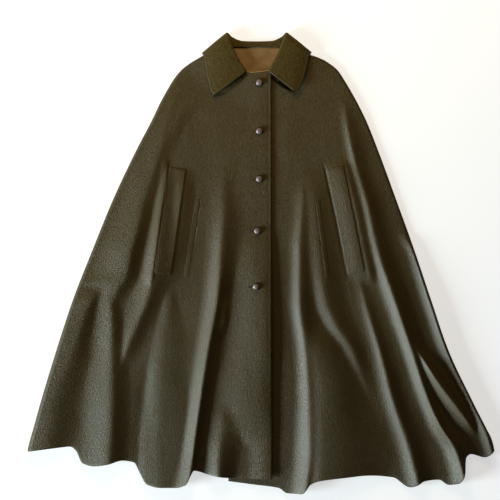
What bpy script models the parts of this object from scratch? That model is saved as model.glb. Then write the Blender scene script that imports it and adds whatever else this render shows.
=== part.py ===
"""Wool cape coat, buttoned and laid flat on its back.

The cloth is modelled where it lies: a back panel on the surface, a back-neck lining on
it, the two fronts over them (the wearer's right front laps over the left), a collar that
folds over the shoulders and runs on underneath the back, two arm-slit welts, two narrow
pocket welts and five shank buttons.

Frame: +Z up, the hem towards -Y, the collar towards +Y, the origin on the surface under
the middle of the garment. Tables are in millimetres; MM turns them into metres.
"""

import math
from typing import NamedTuple

import bmesh
import bpy
import numpy as np
from mathutils import Matrix, Vector
from mathutils.bvhtree import BVHTree

MM = 0.001

# ---------------------------------------------------------------- cloth and layers, mm
CLOTH = 2.2            # loden wall
LINING = 1.0
COLLAR = 3.2           # upper and under collar sewn and turned as one wall
SEAM_GAP = 0.3         # between pieces that are sewn together
EASE = 0.8             # air between layers that only lie on each other

BACK_TOP = CLOTH
LINING_TOP = BACK_TOP + 2 * SEAM_GAP + LINING
UNDER_TOP = LINING_TOP + EASE + CLOTH          # outer face of the left front at rest
OVER_TOP = UNDER_TOP + EASE + SEAM_GAP + CLOTH  # outer face of the right front at rest
SEAM_TOP = BACK_TOP + EASE + CLOTH             # outer face of a front at the side seam
EDGE_ROLL = 20.0       # width over which a front rises from the side seam

# The back of the collar lies under the back panel and lifts the neck by its thickness.
NECK_LIFT = COLLAR + EASE
NECK_X = -10.0         # middle of the neck
FALL_DEPTH_Y = 472.0   # lowest point of the collar's hidden back edge
FALL_HALF = 128.0      # half its width at the shoulders
FALL_RISE = 47.0       # how far the edge climbs from the middle to the shoulders
LIFT_RAMP = 90.0
LINING_LOW_Y = 455.0   # the seams of the fronts clear the lining above this height


# ------------------------------------------------------------------- outline tables, mm
class SideRow(NamedTuple):
    """Height up the garment, and where the left and right shoulder and side seams lie."""

    y: float
    left: float
    right: float


SIDES = (
    SideRow(532, -84, 63),       # neck points, under the collar
    SideRow(519, -141, 125),     # where the shoulders leave the collar
    SideRow(508, -162, 155),
    SideRow(497, -180, 173),
    SideRow(482, -199, 191),
    SideRow(457, -219, 208),
    SideRow(432, -234, 223),
    SideRow(407, -248, 237),
    SideRow(357, -272, 262),
    SideRow(282, -311, 292),
    SideRow(157, -370, 338),
    SideRow(32, -421, 383),
    SideRow(-93, -470, 425),
    SideRow(-218, -511, 468),
    SideRow(-343, -549, 527),
    SideRow(-418, -570, 565),
    SideRow(-442, -577, 577),
    SideRow(-470, -584, 584),    # hem corners
)


class EdgeRow(NamedTuple):
    """A point of a hem or neck edge."""

    x: float
    y: float


OVER_HEM = (
    EdgeRow(-584, -470), EdgeRow(-502, -460), EdgeRow(-477, -458), EdgeRow(-463, -467),
    EdgeRow(-446, -500), EdgeRow(-420, -507), EdgeRow(-390, -503), EdgeRow(-347, -493),
    EdgeRow(-317, -498), EdgeRow(-303, -524), EdgeRow(-285, -553), EdgeRow(-250, -561),
    EdgeRow(-215, -561), EdgeRow(-194, -553), EdgeRow(-182, -530), EdgeRow(-170, -518),
    EdgeRow(-127, -529), EdgeRow(-82, -536), EdgeRow(26, -540),
)
UNDER_HEM = (
    EdgeRow(-81, -545), EdgeRow(-20, -553), EdgeRow(45, -562), EdgeRow(66, -575),
    EdgeRow(97, -576), EdgeRow(120, -552), EdgeRow(145, -543), EdgeRow(210, -535),
    EdgeRow(270, -530), EdgeRow(330, -535), EdgeRow(372, -560), EdgeRow(410, -544),
    EdgeRow(445, -541), EdgeRow(470, -554), EdgeRow(490, -551), EdgeRow(505, -524),
    EdgeRow(512, -486), EdgeRow(525, -477), EdgeRow(560, -485), EdgeRow(584, -470),
)
BACK_HEM = (
    EdgeRow(-584, -468), EdgeRow(-472, -448), EdgeRow(-330, -482), EdgeRow(-170, -502),
    EdgeRow(0, -518), EdgeRow(150, -512), EdgeRow(300, -500), EdgeRow(430, -480),
    EdgeRow(500, -458), EdgeRow(584, -468),
)

OVER_NECK = (
    EdgeRow(-84, 532), EdgeRow(-77, 514), EdgeRow(-64, 495), EdgeRow(-45, 478),
    EdgeRow(-22, 475), EdgeRow(3, 477), EdgeRow(24, 482),
)
UNDER_NECK = (
    EdgeRow(-38, 469), EdgeRow(-8, 469), EdgeRow(16, 471), EdgeRow(34, 478),
    EdgeRow(47, 500), EdgeRow(57, 517), EdgeRow(63, 532),
)
BACK_NECK = (
    EdgeRow(-84, 532), EdgeRow(-60, 536), EdgeRow(-10, 541), EdgeRow(40, 536), EdgeRow(63, 532),
)
ROW_POWER = 1.4        # over 1 sets the rows of a panel closer at its neck
OVER_EDGE_HEM_X = 26.0
UNDER_EDGE_HEM_X = -81.0


# ---------------------------------------------------------------------- folds, mm
class Station(NamedTuple):
    """A section of a fold: its crest, its height, and its width to each side."""

    x: float
    y: float
    height: float
    left: float
    right: float


class Fold(NamedTuple):
    """A ridge of cloth.

    lean tips the crest sideways by that share of its height; the stations give the
    tipped crest. crease is 0 where the ridge is round and 1 where its sides steepen up
    to the crest.
    """

    name: str
    lean: float
    crease: float
    stations: tuple


CREST = 0.18           # share of a fold's width over which its crest is rounded
OVER_FOLDS = (
    Fold("shoulder_mound", 0.1, 0.4, (
        Station(-187, 470, 0, 30, 50), Station(-230, 370, 3, 45, 40),
        Station(-252, 282, 5, 56, 34), Station(-294, 157, 8, 70, 42),
        Station(-308, 95, 12, 78, 44), Station(-325, 32, 15, 88, 46),
        Station(-338, -30, 13, 90, 44), Station(-360, -67, 10, 76, 40),
        Station(-376, -105, 5, 60, 34), Station(-386, -150, 0, 50, 30))),
    Fold("side_roll", 0.1, 0.1, (
        Station(-405, -55, 0, 40, 26), Station(-425, -92, 8, 60, 26),
        Station(-444, -130, 9, 80, 34), Station(-458, -175, 10, 110, 38),
        Station(-472, -217, 11, 120, 46), Station(-502, -280, 12, 140, 66),
        Station(-524, -342, 13, 140, 76), Station(-534, -405, 14, 150, 80),
        Station(-552, -480, 14, 150, 80))),
    Fold("outer_flute", 0.3, 0.4, (
        Station(-384, -66, 0, 26, 24), Station(-377, -92, 5, 36, 30),
        Station(-372, -155, 9, 44, 40), Station(-372, -217, 10, 50, 50),
        Station(-372, -342, 10, 56, 66), Station(-380, -507, 11, 60, 68))),
    Fold("arm_fold", 0.24, 0.6, (
        Station(-236, 245, 0, 30, 20), Station(-245, 157, 6, 32, 70),
        Station(-260, 32, 13, 46, 100), Station(-268, -30, 14, 46, 84),
        Station(-284, -92, 13, 46, 58), Station(-310, -155, 10, 44, 50),
        Station(-336, -217, 8, 30, 48), Station(-356, -280, 0, 22, 30))),
    Fold("welt_fold", 0.0, 0.2, (
        Station(-190, 235, 0, 30, 24), Station(-201, 157, 5, 46, 38),
        Station(-222, 32, 4, 46, 48), Station(-238, -40, 2, 40, 44),
        Station(-246, -85, 0, 34, 34))),
    Fold("collar_fold", 0.0, 0.0, (
        Station(-150, 437, 0, 30, 26), Station(-222, 345, 4, 40, 36),
        Station(-256, 235, 0, 30, 26))),
    Fold("middle_flute", 0.0, 0.0, (
        Station(-228, -55, 0, 30, 20), Station(-230, -92, 3, 30, 26),
        Station(-242, -217, 4, 36, 60), Station(-248, -280, 5, 40, 64),
        Station(-246, -342, 5, 46, 80), Station(-250, -467, 4, 50, 96),
        Station(-246, -557, 6, 54, 100))),
    Fold("front_flute", 0.3, 0.9, (
        Station(-92, 245, 0, 60, 45), Station(-92, 157, 5, 56, 60), Station(-99, 32, 12, 44, 84),
        Station(-109, -92, 17, 42, 50), Station(-132, -217, 17, 36, 48),
        Station(-151, -342, 17, 34, 42), Station(-168, -467, 19, 36, 36),
        Station(-180, -560, 24, 56, 34))),
    Fold("button_side_swell", 0.0, 0.0, (
        Station(-6, 90, 0, 50, 60), Station(-6, 30, 6, 84, 80), Station(-4, -92, 9, 90, 70),
        Station(-4, -217, 11, 104, 80), Station(-10, -342, 11, 120, 84),
        Station(2, -405, 9, 120, 70), Station(18, -467, 6, 58, 60),
        Station(14, -545, 6, 50, 60))),
    Fold("notch_fold", 0.1, 0.0, (
        Station(-100, -70, 0, 16, 18), Station(-96, -110, 6, 20, 24),
        Station(-100, -150, 8, 20, 24), Station(-118, -205, 0, 16, 18))),
    Fold("hem_flute", 0.1, 0.3, (
        Station(-92, -340, 0, 30, 40), Station(-94, -405, 8, 44, 70),
        Station(-103, -467, 13, 42, 60), Station(-106, -545, 17, 44, 44))),
)
UNDER_FOLDS = (
    Fold("welt_fold", 0.0, 0.0, (
        Station(190, 262, 0, 40, 10), Station(198, 230, 5, 44, 12), Station(216, 157, 6, 46, 14),
        Station(242, 32, 6, 46, 14), Station(254, -22, 5, 46, 14), Station(262, -60, 0, 40, 12))),
    Fold("front_flute", 0.2, 0.9, (
        Station(105, 205, 0, 40, 30), Station(105, 157, 5, 36, 44), Station(97, 32, 10, 32, 76),
        Station(97, -92, 13, 34, 76), Station(112, -217, 14, 34, 90),
        Station(120, -342, 16, 38, 80), Station(122, -467, 19, 46, 66),
        Station(112, -572, 21, 50, 52))),
    Fold("low_swell", 0.0, 0.0, (
        Station(118, -140, 0, 30, 50), Station(136, -217, 14, 50, 90),
        Station(148, -342, 20, 66, 124), Station(156, -467, 24, 80, 180),
        Station(150, -560, 26, 80, 186))),
    Fold("pocket_fold", 0.1, 0.3, (
        Station(126, 232, 0, 50, 44), Station(134, 157, 6, 60, 50), Station(144, 32, 9, 60, 58),
        Station(163, -92, 10, 46, 58), Station(190, -155, 10, 40, 48),
        Station(228, -217, 8, 42, 34), Station(257, -292, 3, 36, 28),
        Station(270, -342, 0, 30, 24))),
    Fold("middle_flute", 0.2, 0.8, (
        Station(240, -5, 0, 26, 24), Station(260, -92, 4, 26, 38), Station(297, -217, 8, 26, 40),
        Station(330, -342, 11, 34, 46), Station(372, -467, 12, 34, 58),
        Station(396, -560, 16, 40, 50))),
    Fold("arm_fold", 0.22, 0.9, (
        Station(210, 407, 0, 22, 36), Station(215, 357, 3, 22, 42), Station(229, 282, 6, 24, 50),
        Station(245, 220, 8, 26, 56), Station(264, 157, 10, 28, 60), Station(293, 32, 11, 28, 66),
        Station(334, -92, 14, 28, 54), Station(376, -217, 16, 30, 46),
        Station(418, -342, 17, 30, 38), Station(447, -405, 19, 32, 36),
        Station(486, -467, 21, 36, 42), Station(512, -550, 24, 44, 40))),
    Fold("branch_fold", 0.2, 0.7, (
        Station(388, -200, 0, 20, 24), Station(406, -240, 12, 22, 28),
        Station(424, -280, 18, 26, 38), Station(484, -342, 20, 42, 32),
        Station(530, -405, 13, 42, 26), Station(548, -440, 0, 24, 20))),
    Fold("side_roll", 0.0, 0.6, (
        Station(352, 82, 0, 20, 12), Station(380, 32, 7, 24, 14), Station(423, -92, 13, 28, 14),
        Station(466, -217, 15, 28, 14), Station(525, -342, 15, 28, 14),
        Station(566, -430, 12, 28, 14), Station(578, -470, 10, 26, 12))),
)


# ------------------------------------------------------------- back-neck lining, mm
LINING_INSET = 1.5     # below the back's neck edge
LINING_END_Y = 420.0
LINING_HALF_TOP = 60.0
LINING_HALF_LOW = 52.0


# ---------------------------------------------------------------------- collar, mm
class CollarRow(NamedTuple):
    """A section through the collar, from its neck seam over the roll to its outer edge.

    turn is the way the fall faces: 0 up, 90 out over the shoulder, 180 down.
    stand, roll and edge are offsets that way from the height COLLAR_AXIS.
    """

    turn: float
    neck_x: float
    neck_y: float
    roll_x: float
    roll_y: float
    edge_x: float
    edge_y: float
    stand: float
    roll: float
    edge: float


COLLAR_AXIS = 8.8
COLLAR_ROWS = (
    CollarRow(0, -42, 474, -37, 479, -117, 420, 7.8, 13.4, 4.4),
    CollarRow(0, -73, 511, -61, 516, -134, 474, 7.8, 14.4, 6.2),
    CollarRow(0, -81, 541, -79, 562, -140, 513, 5.6, 12.6, 6.6),
    CollarRow(90, -80, 543, -78, 568, -142, 519, 3.0, 10.0, 6.9),
    CollarRow(180, -76, 538, -74, 565, -139, 517, 0.0, 7.0, 6.9),
    CollarRow(180, -44, 535, -46, 554, -60, 482, -1.0, 6.9, 6.9),
    CollarRow(180, -10, 537, -10, 553, -10, 472, -1.0, 6.9, 6.9),
    CollarRow(180, 24, 535, 26, 554, 40, 482, -1.0, 6.9, 6.9),
    CollarRow(180, 55, 538, 53, 565, 118, 518, 0.0, 7.0, 6.9),
    CollarRow(90, 59, 543, 57, 568, 121, 521, 3.0, 10.0, 6.9),
    CollarRow(0, 60, 541, 58, 562, 119, 515, 4.8, 11.8, 6.2),
    CollarRow(0, 51, 512, 41, 521, 111, 480, 6.8, 13.2, 4.2),
    CollarRow(0, 25, 475, 19, 480, 89, 427, 7.8, 13.4, 1.8),
)
COLLAR_POINT_RADIUS = 9.0
COLLAR_CROWN = 2.5


# ------------------------------------------------------------- what is sewn on, mm
class Strip(NamedTuple):
    """A straight strip on a front: its middle line from top to bottom, and its width."""

    name: str
    over: bool
    top: tuple
    bottom: tuple
    width: float
    thickness: float
    slit_at: float  # where the slit under it lies, across from its middle; 0 is none


STRIPS = (
    Strip("arm_welt_right", True, (-209, 238), (-247, -29), 43, 3.0, -13),
    Strip("arm_welt_left", False, (186, 242), (240, -25), 43, 3.0, 13),
    Strip("pocket_welt_right", True, (-158, 159), (-187, -35), 13, 1.6, 0),
    Strip("pocket_welt_left", False, (142, 155), (168, -37), 13, 1.6, 0),
)
SLIT_WIDTH = 3.0
SLIT_END = 10.0   # the arm slit stops this far short of its welt's ends


class ButtonRow(NamedTuple):
    x: float
    y: float


BUTTONS = (
    ButtonRow(-4, 451), ButtonRow(-4, 330), ButtonRow(-4, 210),
    ButtonRow(-9, 80), ButtonRow(-12, -59),
)
BUTTON_RADIUS = 10.0
BUTTON_RIM = 2.0
BUTTON_DOME = 4.2
SHANK_RADIUS = 1.3
HOLE_LENGTH = 22.0
HOLE_WIDTH = 3.4
HOLE_PAST_SHANK = 4.0  # the buttonhole reaches this far past the shank, to the edge


# ------------------------------------------------------------------------ curves
def monotone(at, knots, values):
    """Cubic through the knots that never overshoots them; knots increase."""
    at, knots, values = (np.asarray(a, float) for a in (at, knots, values))
    step = np.diff(knots)
    slope = np.diff(values) / step
    tangent = np.zeros(len(knots))
    tangent[0], tangent[-1] = slope[0], slope[-1]
    same_way = slope[:-1] * slope[1:] > 0
    mean = 2 * slope[:-1] * slope[1:] / np.where(same_way, slope[:-1] + slope[1:], 1)
    tangent[1:-1] = np.where(same_way, mean, 0)
    at = np.clip(at, knots[0], knots[-1])
    i = np.clip(np.searchsorted(knots, at, side="right") - 1, 0, len(step) - 1)
    t = (at - knots[i]) / step[i]
    return (
        values[i] * (1 + 2 * t) * (1 - t) ** 2
        + tangent[i] * step[i] * t * (1 - t) ** 2
        + values[i + 1] * t * t * (3 - 2 * t)
        + tangent[i + 1] * step[i] * t * t * (t - 1)
    )


def smoothstep(t):
    t = np.clip(t, 0, 1)
    return t * t * (3 - 2 * t)


def along(points, share):
    """Points at shares of the length of a smooth curve through the given points."""
    points = np.array([tuple(p) for p in points], float)
    reach = np.concatenate([[0], np.cumsum(np.linalg.norm(np.diff(points, axis=0), axis=1))])
    at = np.asarray(share) * reach[-1]
    return np.stack([monotone(at, reach, points[:, k]) for k in (0, 1)], axis=-1)


def side_line(which):
    return [(getattr(row, which), row.y) for row in SIDES]


# ----------------------------------------------------------------------- heights
def fold_height(fold, x, y):
    """Height of one fold at plan points."""
    knots = [-s.y for s in fold.stations]
    foot = [s.x - fold.lean * s.height for s in fold.stations]
    crest, ahead = monotone(-y, knots, foot), monotone(-y + 1, knots, foot)
    height, left, right = (
        monotone(-y, knots, [getattr(s, name) for s in fold.stations])
        for name in ("height", "left", "right")
    )
    across = (x - crest) / np.hypot(1, ahead - crest)
    share = np.clip(across / np.where(across < 0, left, right), -1, 1)
    sharp = (np.hypot(share, CREST) - CREST) / (np.hypot(1, CREST) - CREST)
    return height * ((1 - fold.crease) * (1 - share**2) ** 2 + fold.crease * (1 - sharp) ** 3)


def neck_lift(x, y):
    """How far the collar's hidden back half lifts what lies over it."""
    edge = FALL_DEPTH_Y + FALL_RISE * ((x - NECK_X) / FALL_HALF) ** 2
    return NECK_LIFT * smoothstep((y - edge) / LIFT_RAMP + 1)


def off_side_seam(x, y):
    """0 at the side seams, 1 where a front is clear of their roll."""
    knots = [-row.y for row in SIDES]
    share = np.ones_like(x)
    for which, sign in (("left", 1), ("right", -1)):
        values = [getattr(row, which) for row in SIDES]
        line = monotone(-y, knots, values)
        slope = monotone(-y + 1, knots, values) - line
        distance = sign * (x - line) / np.hypot(1, slope)
        share = np.minimum(share, smoothstep(distance / EDGE_ROLL))
    return share


def front_surface(x, y, over):
    """Outer face of a front at plan points: (x, y, z), with the folds and their lean."""
    folds, rest = (OVER_FOLDS, OVER_TOP) if over else (UNDER_FOLDS, UNDER_TOP)
    bumps = [fold_height(fold, x, y) for fold in folds]
    height = sum(bump**3 for bump in bumps) ** (1 / 3)
    clear = off_side_seam(x, y)
    shift = sum(fold.lean * bump for fold, bump in zip(folds, bumps)) * clear
    seam = SEAM_TOP + (LINING + SEAM_GAP) * smoothstep((y - LINING_LOW_Y) / LIFT_RAMP)
    z = neck_lift(x, y) + seam + clear * (rest - seam + height)
    return np.stack([x + shift, y, z], axis=-1)


def edge_y(x, rows):
    """Height up the garment of a hem or neck edge given as rows of x and y."""
    return monotone(x, [row.x for row in rows], [row.y for row in rows])


# ------------------------------------------------------------------------ meshes
def patch(u, v, top, bottom, left, right):
    """Plan points of a panel between its four edges, u across and v down (Coons patch)."""
    across, down = u[None, :, None], v[:, None, None]
    top, bottom = top(u)[None], bottom(u)[None]
    left, right = left(v)[:, None], right(v)[:, None]
    corners = (
        (1 - across) * (1 - down) * top[:, :1] + across * (1 - down) * top[:, -1:]
        + (1 - across) * down * bottom[:, :1] + across * down * bottom[:, -1:]
    )
    return (
        (1 - across) * left + across * right + (1 - down) * top + down * bottom - corners
    )


def even_columns(count, row):
    """Shares across at which a row of points is cut into equal lengths."""
    fine = np.linspace(0, 1, 600)
    points = row(fine)
    reach = np.concatenate([[0], np.cumsum(np.linalg.norm(np.diff(points, axis=0), axis=1))])
    return np.interp(np.linspace(0, reach[-1], count), reach, fine)


def row_shares(rows):
    """Shares down a panel, closer at the neck, which is lifted."""
    return np.linspace(0, 1, rows) ** ROW_POWER


def wall_object(name, work, material, thickness, offset):
    """A wall of cloth from the open surface in a bmesh, which it frees."""
    mesh = bpy.data.meshes.new(name)
    work.to_mesh(mesh)
    work.free()
    mesh.materials.append(material)
    mesh.shade_smooth()
    made = bpy.data.objects.new(name, mesh)
    GARMENT.objects.link(made)
    wall = made.modifiers.new("wall", "SOLIDIFY")
    wall.thickness = thickness * MM
    wall.offset = offset
    wall.use_quality_normals = True
    return made


def grid_object(name, points, material, thickness, offset):
    """A wall of cloth from a grid of points in mm, rows down and columns across."""
    rows, columns, _ = points.shape
    work = bmesh.new()
    verts = [[work.verts.new(Vector(p) * MM) for p in row] for row in points]
    for i in range(rows - 1):
        for j in range(columns - 1):
            work.faces.new(
                (verts[i][j], verts[i + 1][j], verts[i + 1][j + 1], verts[i][j + 1])
            )
    bmesh.ops.triangulate(work, faces=work.faces, quad_method="SHORT_EDGE")
    return wall_object(name, work, material, thickness, offset)


def make_front(name, over, neck, hem, edge_hem_x, material, columns, rows):
    """A front: neck seam, shoulder and side seam, hem and button edge."""
    side = side_line("left" if over else "right")
    neck_corner = neck[-1] if over else neck[0]
    edge = [tuple(neck_corner), (edge_hem_x, edge_y(edge_hem_x, hem))]
    first_x, last_x = hem[0].x, hem[-1].x

    def hem_line(u):
        x = first_x + u * (last_x - first_x)
        return np.stack([x, edge_y(x, hem)], axis=-1)

    def hem_surface(u):
        line = hem_line(u)
        return front_surface(line[:, 0], line[:, 1], over)

    u = even_columns(columns, hem_surface)
    v = row_shares(rows)
    left, right = (side, edge) if over else (edge, side)
    plan = patch(
        u, v,
        top=lambda s: along(neck, s),
        bottom=hem_line,
        left=lambda s: along(left, s),
        right=lambda s: along(right, s),
    )
    points = front_surface(plan[..., 0], plan[..., 1], over)
    return grid_object(name, points, material, CLOTH, -1)


def make_back(material, columns, rows):
    """The back: flat on the surface, lifted at the neck by the collar under it."""
    plan = patch(
        np.linspace(0, 1, columns), row_shares(rows),
        top=lambda s: along(BACK_NECK, s),
        bottom=lambda s: along(BACK_HEM, s),
        left=lambda s: along(side_line("left"), s),
        right=lambda s: along(side_line("right"), s),
    )
    z = neck_lift(plan[..., 0], plan[..., 1])[..., None]
    return grid_object("back", np.concatenate([plan, z], axis=-1), material, CLOTH, 1)


def make_lining(height, material):
    """The back-neck lining, as far as the neck opening shows it and a hand's width on."""
    u, v = np.meshgrid(np.linspace(-1, 1, 9), np.linspace(0, 1, 9))
    half = LINING_HALF_TOP + (LINING_HALF_LOW - LINING_HALF_TOP) * v
    x = NECK_X + u * half
    y = (1 - v) * (edge_y(x, BACK_NECK) - LINING_INSET) + v * LINING_END_Y
    z = height(x, y) + SEAM_GAP
    return grid_object("back_lining", np.stack([x, y, z], axis=-1), material, LINING, 1)


def collar_section(row, arc_steps, fall_steps, reach):
    """Points from the neck seam over the roll to the outer edge, for one section."""
    turn = math.radians(row["turn"])
    neck, roll, edge = (
        Vector((row[f"{k}_x"], row[f"{k}_y"], COLLAR_AXIS)) for k in ("neck", "roll", "edge")
    )
    inward = (roll - edge).normalized()
    outward = Vector((-inward.y, inward.x, 0))
    if outward.x * (roll.x - NECK_X) < 0:
        outward = -outward
    facing = Vector((0, 0, math.cos(turn))) + outward * math.sin(turn)
    radius = (row["roll"] - row["stand"]) / 2
    centre = roll - inward * radius + facing * (row["stand"] + radius)
    points = [neck + facing * row["stand"]]
    points.append(points[0].lerp(centre - facing * radius, 0.6))
    for k in range(arc_steps + 1):
        angle = math.pi * k / arc_steps
        points.append(
            centre + (inward * math.sin(angle) - facing * math.cos(angle)) * radius
        )
    start, end = points[-1], edge + facing * row["edge"]
    for k in range(1, fall_steps + 1):
        share = reach * k / fall_steps
        crown = COLLAR_CROWN * 4 * share * (1 - share) * max(0.0, math.cos(turn))
        points.append(start.lerp(end, share) + facing * crown)
    return points


def make_collar(material):
    """One wall round the neck: its fall on the fronts, over the shoulders, under the back."""
    last = len(COLLAR_ROWS) - 1
    ends = (0, 0.03, 0.08, 0.15, 0.3)
    at = np.concatenate([ends, np.linspace(0.5, last - 0.5, 41), last - np.array(ends[::-1])])
    columns = {
        name: monotone(at, range(last + 1), [getattr(row, name) for row in COLLAR_ROWS])
        for name in CollarRow._fields
    }
    grid = []
    for k, station in enumerate(at):
        row = {name: values[k] for name, values in columns.items()}
        end = COLLAR_ROWS[0] if station < last / 2 else COLLAR_ROWS[-1]
        length = math.hypot(end.edge_x - end.roll_x, end.edge_y - end.roll_y)
        from_end = math.hypot(row["edge_x"] - end.edge_x, row["edge_y"] - end.edge_y)
        short = max(0.0, COLLAR_POINT_RADIUS - from_end)
        cut = COLLAR_POINT_RADIUS - math.sqrt(COLLAR_POINT_RADIUS**2 - short**2)
        grid.append(collar_section(row, 5, 4, 1 - cut / length))
    points = np.array(grid, float)
    return grid_object("collar", points, material, COLLAR, 0)


def strip_frame(strip):
    """(top, direction down, direction across to +X, length) of a strip, in plan."""
    top, bottom = Vector(strip.top), Vector(strip.bottom)
    down = (bottom - top).normalized()
    return top, down, Vector((-down.y, down.x)), (bottom - top).length


def height_finder(panel):
    """A function that gives the height in mm of a panel's outer face at plan points."""
    bpy.context.view_layer.update()
    tree = BVHTree.FromObject(panel, bpy.context.evaluated_depsgraph_get())

    def height(x, y):
        plan = zip(np.ravel(x) * MM, np.ravel(y) * MM)
        hits = [tree.ray_cast(Vector((*p, 1.0)), Vector((0, 0, -1)))[0].z for p in plan]
        return np.reshape(hits, np.shape(x)) / MM

    return height


def make_strip(strip, panel, material):
    """A welt: the stretch of its front between four upright planes, moved out."""
    top, down, across, length = strip_frame(strip)
    middle = top + down * (length / 2)
    work = bmesh.new()
    work.from_mesh(panel.data)
    for outward, reach in (
        (down, length / 2), (-down, length / 2),
        (across, strip.width / 2), (-across, strip.width / 2),
    ):
        bmesh.ops.bisect_plane(
            work, geom=[*work.verts, *work.edges, *work.faces], dist=1e-7,
            plane_co=(middle + outward * reach).to_3d() * MM,
            plane_no=outward.to_3d(), clear_outer=True,
        )
    work.normal_update()
    for vert in work.verts:
        vert.co += vert.normal * SEAM_GAP * MM
    return wall_object(strip.name, work, material, strip.thickness, 1)


def make_cutter(name, size, place, turn):
    """A hidden box that cuts a slit through a front; size and place in mm."""
    bpy.ops.mesh.primitive_cube_add(size=1)
    cutter = bpy.context.object
    cutter.name = name
    cutter.data.transform(Matrix.Diagonal((*(s * MM for s in size), 1)))
    cutter.location = Vector(place) * MM
    cutter.rotation_euler.z = turn
    cutter.hide_render = True
    cutter.display_type = "WIRE"
    for collection in list(cutter.users_collection):
        collection.objects.unlink(cutter)
    CUTTERS.objects.link(cutter)
    return cutter


def cut(panel, cutter):
    hole = panel.modifiers.new(cutter.name, "BOOLEAN")
    hole.operation = "DIFFERENCE"
    hole.solver = "EXACT"
    hole.object = cutter


def cut_arm_slit(panel, strip):
    """The arm slit under a welt, along the welt and near its free edge."""
    top, down, across, length = strip_frame(strip)
    middle = top + down * (length / 2) + across * strip.slit_at
    size = (SLIT_WIDTH, length - 2 * SLIT_END, 200)
    turn = math.atan2(down.x, -down.y)
    cut(panel, make_cutter(f"slit_{strip.name}", size, (*middle, 0), turn))


def make_button(number, row, over, under, material):
    """A domed button whose shank passes the buttonhole and stands on the left front."""
    foot = under(row.x, row.y) + SEAM_GAP
    turn = np.linspace(0, 2 * math.pi, 12, endpoint=False)
    rim = over(row.x + BUTTON_RADIUS * np.cos(turn), row.y + BUTTON_RADIUS * np.sin(turn))
    seat = rim.max() + SEAM_GAP
    profile = [(0.0, seat + BUTTON_RIM + BUTTON_DOME)]
    steps = 4
    for k in range(1, steps + 1):
        angle = math.pi / 2 * k / steps
        profile.append((
            BUTTON_RADIUS * math.sin(angle), seat + BUTTON_RIM + BUTTON_DOME * math.cos(angle)
        ))
    profile += [
        (BUTTON_RADIUS, seat + 0.8), (BUTTON_RADIUS - 1.0, seat),
        (SHANK_RADIUS, seat), (SHANK_RADIUS, foot), (0.0, foot),
    ]
    mesh = bpy.data.meshes.new(f"button_{number}")
    mesh.from_pydata(
        [(r * MM, 0, z * MM) for r, z in profile],
        [(k, k + 1) for k in range(len(profile) - 1)], [],
    )
    mesh.materials.append(material)
    button = bpy.data.objects.new(f"button_{number}", mesh)
    button.location = (row.x * MM, row.y * MM, 0)
    GARMENT.objects.link(button)
    turned = button.modifiers.new("turned", "SCREW")
    turned.steps = turned.render_steps = 16
    turned.use_merge_vertices = True
    turned.merge_threshold = 0.00001
    return button


def cut_buttonhole(panel, number, row):
    """A buttonhole across the right front, its shank near the end at the front edge."""
    centre = row.x + HOLE_PAST_SHANK - HOLE_LENGTH / 2
    size = (HOLE_LENGTH, HOLE_WIDTH, 200)
    cut(panel, make_cutter(f"buttonhole_{number}", size, (centre, row.y, 0), 0))


# --------------------------------------------------------------------- materials
def make_material(name, colour, roughness, metallic=0.0):
    material = bpy.data.materials.new(name)
    material.use_nodes = True
    shader = material.node_tree.nodes["Principled BSDF"]
    shader.inputs["Base Color"].default_value = (*colour, 1)
    shader.inputs["Roughness"].default_value = roughness
    shader.inputs["Metallic"].default_value = metallic
    material.diffuse_color = (*colour, 1)
    return material


def new_collection(name):
    made = bpy.data.collections.new(name)
    bpy.context.scene.collection.children.link(made)
    return made


for old in list(bpy.data.objects):
    bpy.data.objects.remove(old)
GARMENT = new_collection("wool_cape_coat")
CUTTERS = new_collection("cutters")

loden = make_material("loden", (0.066, 0.055, 0.028), 0.95)
satin = make_material("lining_satin", (0.135, 0.078, 0.027), 0.5)
horn = make_material("button_horn", (0.19, 0.14, 0.115), 0.3)

back = make_back(loden, 17, 18)
make_lining(height_finder(back), satin)
right_front = make_front(
    "front_right", True, OVER_NECK, OVER_HEM, OVER_EDGE_HEM_X, loden, 57, 24
)
left_front = make_front(
    "front_left", False, UNDER_NECK, UNDER_HEM, UNDER_EDGE_HEM_X, loden, 57, 24
)
over_height, under_height = height_finder(right_front), height_finder(left_front)
make_collar(loden)
for strip in STRIPS:
    make_strip(strip, right_front if strip.over else left_front, loden)
for number, row in enumerate(BUTTONS, 1):
    make_button(number, row, over_height, under_height, horn)
    cut_buttonhole(right_front, number, row)
for strip in STRIPS:
    if strip.slit_at:
        cut_arm_slit(right_front if strip.over else left_front, strip)
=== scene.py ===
"""Looks of a wool cape coat that lies buttoned on its back.

Each cloth panel is a thin closed shell on its own surface of folds: the two fronts, the
back, the neck lining and the collar. Welts, pocket lips, buttons and thread go on top.
Tables are in millimetres, as a maker measures the garment; MM turns them into metres.
"""

import logging
import math
from dataclasses import dataclass
from enum import Enum
from typing import Callable, Sequence

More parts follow.
